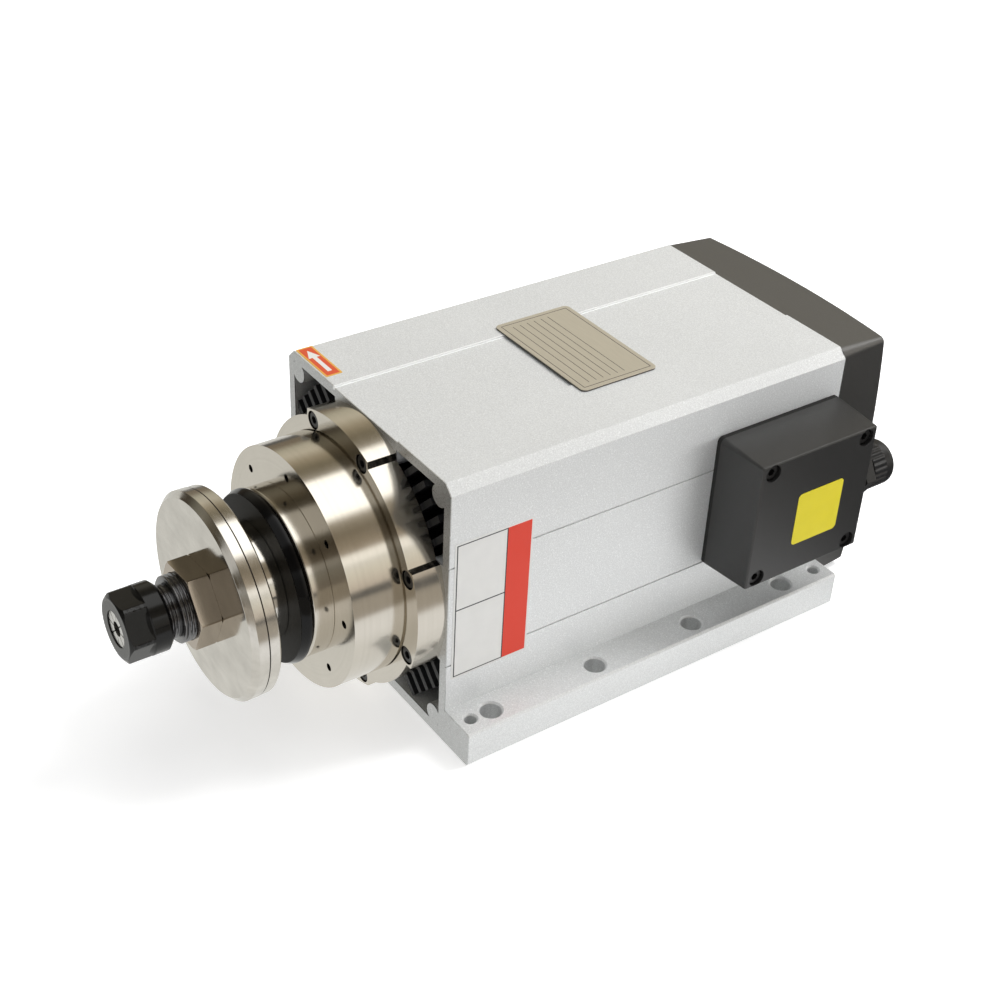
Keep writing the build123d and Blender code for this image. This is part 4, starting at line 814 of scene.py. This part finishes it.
def make_clamp_nut():
    """Rings that follow the curve where a cone meets the flats, so the chamfer has its real scallops."""
    low, high = span("clamp_nut")
    reach = hexagon_reach(CLAMP_NUT_FLATS, NUT_SIDES, CLAMP_NUT_TURN)
    rim = np.minimum(reach, reach.max() - 0.9)
    drop = (reach - rim) * 0.5
    level = np.ones(NUT_SIDES)
    front, rear, bore = low[1] * level, high[1] * level, 13.6 * level
    stations = np.stack([front, front, front + drop, rear - drop, rear, rear])
    radii = np.stack([bore, rim, reach, reach, rim, bore])
    mesh = ringed_mesh("clamp_nut_body", stations, radii)
    nut_steel = turned_steel("ground_nut_steel", (0.45, 0.39, 0.32), 0.16, 0.3, 0.2)
    nut = put_in_scene("clamp_nut_body", mesh, nut_steel, "clamp_nut", "clamp_nut")
    return soften(nut, 0.12, 20)


make_clamp_nut()

# Collet and collet nut
# The nut is oiled black oxide, with six short flats in front of a round collar. The spring collet inside
# it is slotted from both ends and shows eight fingers round its bore.

nut_low, nut_high = span("collet_nut")
collet_low, collet_high = span("collet")
FINGERS = 8
FINGER_GAP_DEGREES = 5.0
FINGER_STEPS = 9


def oiled_black_oxide():
    """Glossy black, with a painted highlight greying the rim of the face, and a little greyer where a
    spanner rubbed the corners.
    """
    finish = Finish("oiled_black_oxide", (0.006, 0.006, 0.006), 0.25, 0.0, Specular_IOR_Level=0.28)
    cloud = finish.noise(2.2, 3.0)
    radius = radius_of(finish)
    face = (finish.y - nut_low[1]).below(0.2)
    # A painted highlight: a greyer ring on the face next to its chamfer edge. The grey patches on the
    # corners below are real spanner wear.
    rim = face * radius.within(11.2, 12.4)
    corner = radius.above(13.9) * (finish.y - nut_low[1]).below(9.0) * cloud.above(0.5)
    black = finish.mix(cloud, (0.003, 0.003, 0.003), (0.009, 0.009, 0.009))
    wear_and_rim_highlight = (rim * 0.12 + corner * 0.05).clamped(0.0, 1.0)
    finish.set("Base Color", finish.mix(wear_and_rim_highlight, black, (0.4, 0.4, 0.4)))
    finish.set("Roughness", 0.1 + cloud * 0.1)
    finish.relief(finish.noise(0.4, 2.0), 0.006)
    return finish.material


def make_collet_nut():
    """Hexagon with a chamfered face, run-out scallops against the collar, then the bevelled collar."""
    length = nut_high[1] - nut_low[1]
    level = np.ones(NUT_SIDES)
    body = 14.0
    reach = np.minimum(hexagon_reach(25.0, NUT_SIDES), body)
    face = np.minimum(reach, 12.2)
    drop = (reach - face) * 0.65
    collar = length - 7.5
    scallop = (body - reach) * 0.9
    outline = [(level * 0, level * 7.45), (level * 0, face), (drop, reach), (collar - scallop - 0.4, reach),
               (collar - scallop * 0.35, reach + (body - reach) * 0.45), (collar * level, body * level),
               ((length - 1.4) * level, body * level), (length * level, (body - 1.4) * level),
               (length * level, 11.05 * level), (5.6 * level, 11.05 * level), (5.6 * level, 7.6 * level),
               (3.9 * level, 7.6 * level), (3.9 * level, 8.55 * level), (2.8 * level, 8.55 * level),
               (0.69 * level, 7.45 * level)]
    stations = np.stack([nut_low[1] + station for station, _ in outline])
    mesh = ringed_mesh("collet_nut_body", stations, np.stack([radius for _, radius in outline]))
    nut = put_in_scene("collet_nut_body", mesh, oiled_black_oxide(), "collet_nut", "collet_nut")
    return soften(nut, 0.15, 24)


def make_collet():
    """Eight fingers: the turned outline is carried through each finger's own angle.

    A point stands at its outline point's station and radius, turned by its step of the finger's angle,
    and the outline itself closes the finger at its two slots.
    """
    length = collet_high[1] - collet_low[1]
    stations, radii = np.array([(0.0, 3.0), (0.0, 7.3), (2.3, 8.5), (3.4, 8.5), (3.4, 7.5), (5.1, 7.5),
                                (5.1, 8.5), (length, 5.35), (length, 3.0)]).T
    half = 180 / FINGERS - FINGER_GAP_DEGREES / 2
    middles = (np.arange(FINGERS) + 0.5) * 360 / FINGERS
    turn = np.radians(middles[:, None, None] + np.linspace(-half, half, FINGER_STEPS))
    along = collet_low[1] + stations[:, None] + 0 * turn
    across, height = radii[:, None] * np.cos(turn), radii[:, None] * np.sin(turn)
    points = np.stack([across, along, AXIS_HEIGHT + height], axis=-1)
    here = np.arange(along.size).reshape(along.shape)
    other = np.roll(here, -1, axis=1)
    walls = np.stack([here[..., :-1], here[..., 1:], other[..., 1:], other[..., :-1]], -1).reshape(-1, 4)
    mesh = bpy.data.meshes.new("collet_fingers")
    mesh.from_pydata(points.reshape(-1, 3) / 1000, [],
                     walls.tolist() + here[..., 0].tolist() + here[:, ::-1, -1].tolist())
    work = bmesh.new()
    work.from_mesh(mesh)
    bmesh.ops.recalc_face_normals(work, faces=work.faces)
    work.to_mesh(mesh)
    work.free()
    collet_steel = turned_steel("collet_steel", (0.66, 0.65, 0.63), 0.24, 0.3)
    return soften(put_in_scene("collet_fingers", mesh, collet_steel, "collet", "collet"), 0.12, 40)


make_collet_nut()
make_collet()

# Rear bell and fan
# A cast plate on the casing carries the rear bearing, and a moulded fan on the shaft end blows air along
# the corner channels. Both are hidden behind the fan cover and show only through its grille.


def moulded_black(name, colour, roughness, grain_size=0.5, depth=0.05, **surface):
    """Black moulded plastic with a fine spark-eroded texture, slightly greyer on its high spots."""
    finish = Finish(name, (colour, colour, colour), roughness, **surface)
    grain = finish.noise(grain_size, 2.0)
    cloud = finish.noise(25.0, 2.0)
    low_spots = (colour * 0.75, colour * 0.75, colour * 0.76)
    high_spots = (colour * 1.3, colour * 1.3, colour * 1.28)
    finish.set("Base Color", finish.mix(grain * 0.6 + cloud * 0.4, low_spots, high_spots))
    finish.set("Roughness", roughness - 0.06 + grain * 0.12 + cloud * 0.05)
    finish.relief(grain, depth)
    return finish.material


dressed("fan", moulded_black("fan_plastic", 0.02, 0.42), 0.3)

# Fan cover
# A moulded black cap over the fan, domed at the rear with level air slots, held by four screws in the
# corner lobes of the extrusion.

cover_plastic = moulded_black("fan_cover_plastic", 0.01, 0.47, IOR=1.9, Specular_IOR_Level=1.0)
dressed("fan_cover", cover_plastic, 0.8)

# Terminal box
# A moulded black box on a rubber gasket, screwed into the housing wall through four deep wells. A cream
# terminal block with brass screws sits inside.


def brass():
    """Turned brass, a little uneven in its shine."""
    finish = Finish("turned_brass", (0.8, 0.6, 0.25), 0.25, 1.0)
    finish.set("Roughness", 0.2 + finish.noise(1.5, 2.0) * 0.15)
    return finish.material


box_plastic = moulded_black("terminal_box_plastic", 0.017, 0.42, 0.45, 0.06, Specular_IOR_Level=0.75)
dressed("terminal_cover", box_plastic, 0.8)
dressed("terminal_gasket", moulded_black("gasket_rubber", 0.012, 0.7, 0.8, 0.08), 0.2)
paint_solids(moulded_black("terminal_block_plastic", 0.5, 0.4, 0.6, 0.02), "terminal_block")
paint_solids(brass(), "terminal_screws")

# Cable gland
# A black nylon gland in the rear wall of the box: hexagon, domed nut with a soft shoulder, and a rubber
# insert round the empty cable hole.

gland_nut_low, gland_nut_high = span("gland_nut")
GLAND_RIBS = 26


def ribbed_nylon():
    """Grip ribbing round the nut that runs out at its dome: a sine of the angle round the gland's axis,
    which also darkens the troughs as painted shade.
    """
    finish = Finish("ribbed_nylon", (0.018, 0.018, 0.0185), 0.4)
    middle = (gland_nut_low + gland_nut_high) / 2
    across, height = finish.x - middle[0], finish.z - middle[2]
    rib_relief_and_shade = (height.angle_over(across) * GLAND_RIBS).sine() * 0.5 + 0.5
    grip = 1.0 - (finish.y - gland_nut_high[1] + 7.0).clamped(0.0, 1.0)
    # Painted shade: the base colour is darker in the troughs and lighter on the crests of the ribbing.
    finish.set("Base Color", finish.mix(rib_relief_and_shade * grip, (0.01, 0.01, 0.0105), (0.024, 0.024, 0.0245)))
    finish.relief(rib_relief_and_shade * grip, 0.7)
    return finish.material


gland_plastic = moulded_black("gland_nylon", 0.015, 0.38, 0.8, 0.02)
dressed("gland_body", gland_plastic, 0.3)
dressed("gland_nut", ribbed_nylon(), 0.25)
dressed("gland_seal", moulded_black("gland_rubber", 0.015, 0.65, 0.7, 0.05), 0.2)
paint_solids(gland_plastic, "gland_locknut")

# Nameplate
# A thin tan-silver plate bonded across the recess of the top face. It is brushed, with an engraved border
# and ruled lines filled dark, and its edge is painted dark as shade.

plate_low, plate_high = span("nameplate")
PLATE_MARGIN = 2.2
PLATE_ROW_PITCH = 3.6


def engraved_plate():
    """Brushed plate with dark lines, a border and level rows inside it, and painted shade on its edge."""
    finish = Finish("nameplate_metal", (0.55, 0.5, 0.4), 0.4, 0.3)
    across = finish.x - (plate_low[0] + plate_high[0]) / 2
    along = finish.y - (plate_low[1] + plate_high[1]) / 2
    half_wide = (plate_high[0] - plate_low[0]) / 2 - PLATE_MARGIN
    half_long = (plate_high[1] - plate_low[1]) / 2 - PLATE_MARGIN
    edge_x = (across.size() - half_wide).size().below(0.18) * along.size().below(half_long)
    edge_y = (along.size() - half_long).size().below(0.18) * across.size().below(half_wide)
    inside = across.size().below(half_wide - 2.5) * along.within(-half_long + 2.0, half_long - 9.0)
    rows = ((along / PLATE_ROW_PITCH).fraction() - 0.5).size().below(0.045)
    # Painted shade: the plate's edge walls are coloured as dark as the ink lines.
    wall = finish.z.below(plate_high[2] - 0.2)
    ink = (edge_x + edge_y + rows * inside + wall).clamped(0.0, 1.0)
    brushed = finish.noise(0.3, 2.0, finish.vector(finish.x * 0.04, finish.y, finish.z))
    metal = finish.mix(brushed, (0.5, 0.46, 0.37), (0.62, 0.57, 0.46))
    finish.set("Base Color", finish.mix(ink, metal, (0.09, 0.08, 0.07)))
    finish.set("Metallic", 0.45 - ink * 0.45)
    finish.set("Roughness", 0.34 + brushed * 0.14 + ink * 0.1)
    finish.relief(1.0 - ink, 0.04)
    return finish.material


dressed("nameplate", engraved_plate(), 0.15)

# Studio
# A white floor and background. Soft lamps stand high behind, overhead, low on the right and in front, and
# warm walls with bright panels show only in metal.

CAMERA_AZIMUTH = 53.33
CAMERA_ELEVATION = 34.34
CAMERA_ROLL = 3.05
CAMERA_DISTANCE = 687.3
CAMERA_LENS = 58.8
LOOK_STATION = 60.0
LOOK_RIGHT = 6.11
LOOK_UP = 0.12
EVEN_LIGHT = 0.3
FLOOR_HALF = 6.0
FLOOR_GREY = (0.85, 0.85, 0.85)
FLOOR_GLOW = (0.55, 0.55, 0.55)
GLOW_START = 600.0
GLOW_FADE = 1400.0
FRONT_SHADE = 0.35
SHEET_HALF = 400.0
SHEET_END = 90.0
SHEET_FADE = 60.0
SHEET_BEHIND = (0.08, 0.08, 0.08)
BLACK = (0.0, 0.0, 0.0)
WHITE = (1.0, 1.0, 1.0)
SHEET_TONES = [(0.0, (0.72, 0.72, 0.69)), (0.45, (0.78, 0.78, 0.75)), (0.6, (0.9, 0.9, 0.88)),
               (0.64, (1.0, 1.0, 1.0)), (0.71, (1.0, 1.0, 1.0)), (0.74, (0.44, 0.4, 0.34))]
STUDIO_TONES = [(-180, (0.23, 0.19, 0.14)), (-8, (0.62, 0.55, 0.47)), (4, (0.81, 0.73, 0.63)),
                (16, (0.94, 0.9, 0.79)), (24, (1.0, 0.98, 0.92)), (25, (1.4, 1.37, 1.3)),
                (32, (1.4, 1.37, 1.3)), (34, (0.44, 0.37, 0.28)), (52, (0.26, 0.22, 0.16)),
                (64, (0.42, 0.37, 0.29)), (70, (2.0, 1.98, 1.92)), (108, (2.0, 1.98, 1.92)),
                (111, (0.36, 0.32, 0.25)), (124, (0.22, 0.19, 0.13)), (136, (0.42, 0.36, 0.26)),
                (148, (0.7, 0.65, 0.53)), (160, (0.57, 0.54, 0.43)), (170, (0.23, 0.19, 0.14)),
                (180, (0.23, 0.19, 0.14))]
TONE_REACH = 2.0


def place_camera():
    """Stand the camera where the photograph was taken from."""
    azimuth, elevation, roll = (math.radians(a) for a in (CAMERA_AZIMUTH, CAMERA_ELEVATION, CAMERA_ROLL))
    back = np.array([math.sin(azimuth) * math.cos(elevation), -math.cos(azimuth) * math.cos(elevation),
                     math.sin(elevation)])
    right = np.array([math.cos(azimuth), math.sin(azimuth), 0])
    up = np.cross(back, right)
    turned_right = right * math.cos(roll) + up * math.sin(roll)
    turned_up = up * math.cos(roll) - right * math.sin(roll)
    aim = np.array([0, FRONT + LOOK_STATION, AXIS_HEIGHT]) + right * LOOK_RIGHT + up * LOOK_UP
    spot = aim + back * CAMERA_DISTANCE
    data = bpy.data.cameras.new("camera")
    data.lens = CAMERA_LENS
    data.sensor_width = 36.0
    data.shift_x = -0.0025
    data.shift_y = -0.0028
    data.clip_start = 0.01
    camera = bpy.data.objects.new("camera", data)
    bpy.context.scene.collection.objects.link(camera)
    axes = np.stack([turned_right, turned_up, back], 1)
    matrix = np.eye(4)
    matrix[:3, :3] = axes
    matrix[:3, 3] = spot / 1000
    camera.matrix_world = Matrix(matrix.tolist())
    bpy.context.scene.camera = camera


def make_floor():
    """A pale floor under the feet that keeps the shadow and is white to the camera further off.

    Metal sees a sheet that is brightest along the right side of the object and dark past its edge.
    """
    corners = [(-1, -1, 0), (1, -1, 0), (1, 1, 0), (-1, 1, 0)]
    mesh = bpy.data.meshes.new("floor")
    mesh.from_pydata(np.array(corners) * FLOOR_HALF, [], [(0, 1, 2, 3)])
    floor = bpy.data.objects.new("floor", mesh)
    bpy.context.scene.collection.objects.link(floor)
    finish = Finish("white_floor", FLOOR_GREY, 0.9)
    seen = finish.node("ShaderNodeLightPath", output="Is Camera Ray")
    reflected = finish.node("ShaderNodeLightPath", output="Is Glossy Ray")
    place = (finish.x + SHEET_HALF) / (2 * SHEET_HALF)
    bright = finish.node("ShaderNodeValToRGB", {"stops": SHEET_TONES}, [place], "Color")
    behind = ((finish.y - SHEET_END) / SHEET_FADE).clamped(0.0, 1.0)
    sheet = finish.mix(behind, bright, SHEET_BEHIND)
    finish.set("Base Color", finish.mix(reflected, FLOOR_GREY, BLACK))
    reach = (finish.x * finish.x + finish.y * finish.y) ** 0.5
    far = ((reach - GLOW_START) / GLOW_FADE).clamped(0.0, 1.0)
    white = finish.mix(seen, BLACK, finish.mix(far, FLOOR_GLOW, WHITE))
    finish.set("Emission Color", finish.mix(reflected, white, sheet))
    finish.set("Emission Strength", 1.0)
    mesh.materials.append(finish.material)


def make_sky():
    """White for the camera, even light for matt surfaces, and long soft boxes and walls for metal.

    The boxes and walls run along the spindle, so their tone follows the angle round it, and they are
    darker in front of it than behind.
    """
    world = bpy.data.worlds.new("studio")
    bpy.context.scene.world = world
    world.use_nodes = True
    sky = NodeTree(world.node_tree)
    across, along, height = sky.axes(sky.node("ShaderNodeTexCoord", output="Generated"))
    turn = height.angle_over(across) / (2 * math.pi) + 0.5
    stops = [(degrees / 360 + 0.5, tuple(channel / TONE_REACH for channel in colour))
             for degrees, colour in STUDIO_TONES]
    walls = sky.node("ShaderNodeValToRGB", {"stops": stops}, [turn], "Color")
    shade = FRONT_SHADE + (along * 2.0 + 0.5).clamped(0.0, 1.0) * (1.0 - FRONT_SHADE)
    boxes = sky.scaled(walls, shade * TONE_REACH)
    reflected = sky.node("ShaderNodeLightPath", output="Is Glossy Ray")
    seen = sky.node("ShaderNodeLightPath", output="Is Camera Ray")
    lit = sky.mix(reflected, (EVEN_LIGHT, EVEN_LIGHT, EVEN_LIGHT), boxes)
    sky.feed(world.node_tree.nodes["Background"].inputs["Color"], sky.mix(seen, lit, WHITE))


def add_lamp(name, spot, aim, wide, long, watts):
    """A soft box at a spot in metres, turned to its aim. Metal sees the walls instead of it."""
    data = bpy.data.lights.new(name, "AREA")
    data.shape = "RECTANGLE"
    data.size = wide
    data.size_y = long
    data.energy = watts
    lamp = bpy.data.objects.new(name, data)
    bpy.context.scene.collection.objects.link(lamp)
    away = np.array(aim, float) - np.array(spot, float)
    back = -away / np.linalg.norm(away)
    right = np.cross([0.0, 0.0, 1.0], back)
    right /= np.linalg.norm(right)
    matrix = np.eye(4)
    matrix[:3, :3] = np.stack([right, np.cross(back, right), back], 1)
    matrix[:3, 3] = spot
    lamp.matrix_world = Matrix(matrix.tolist())
    lamp.visible_glossy = False


place_camera()
make_floor()
make_sky()
add_lamp("key", (0.1, 1.0, 1.4), (0, 0, 0.06), 0.7, 0.9, 22)
add_lamp("over", (-0.2, 0.1, 1.9), (0, 0, 0.06), 1.2, 1.2, 8)
add_lamp("side", (0.75, 0.45, 0.08), (0.06, -0.03, 0.05), 0.4, 0.14, 2.9)
add_lamp("front", (1.0, -0.8, 0.2), (0.06, -0.05, 0.06), 0.6, 0.3, 0.9)
bpy.context.scene.view_settings.view_transform = "Standard"
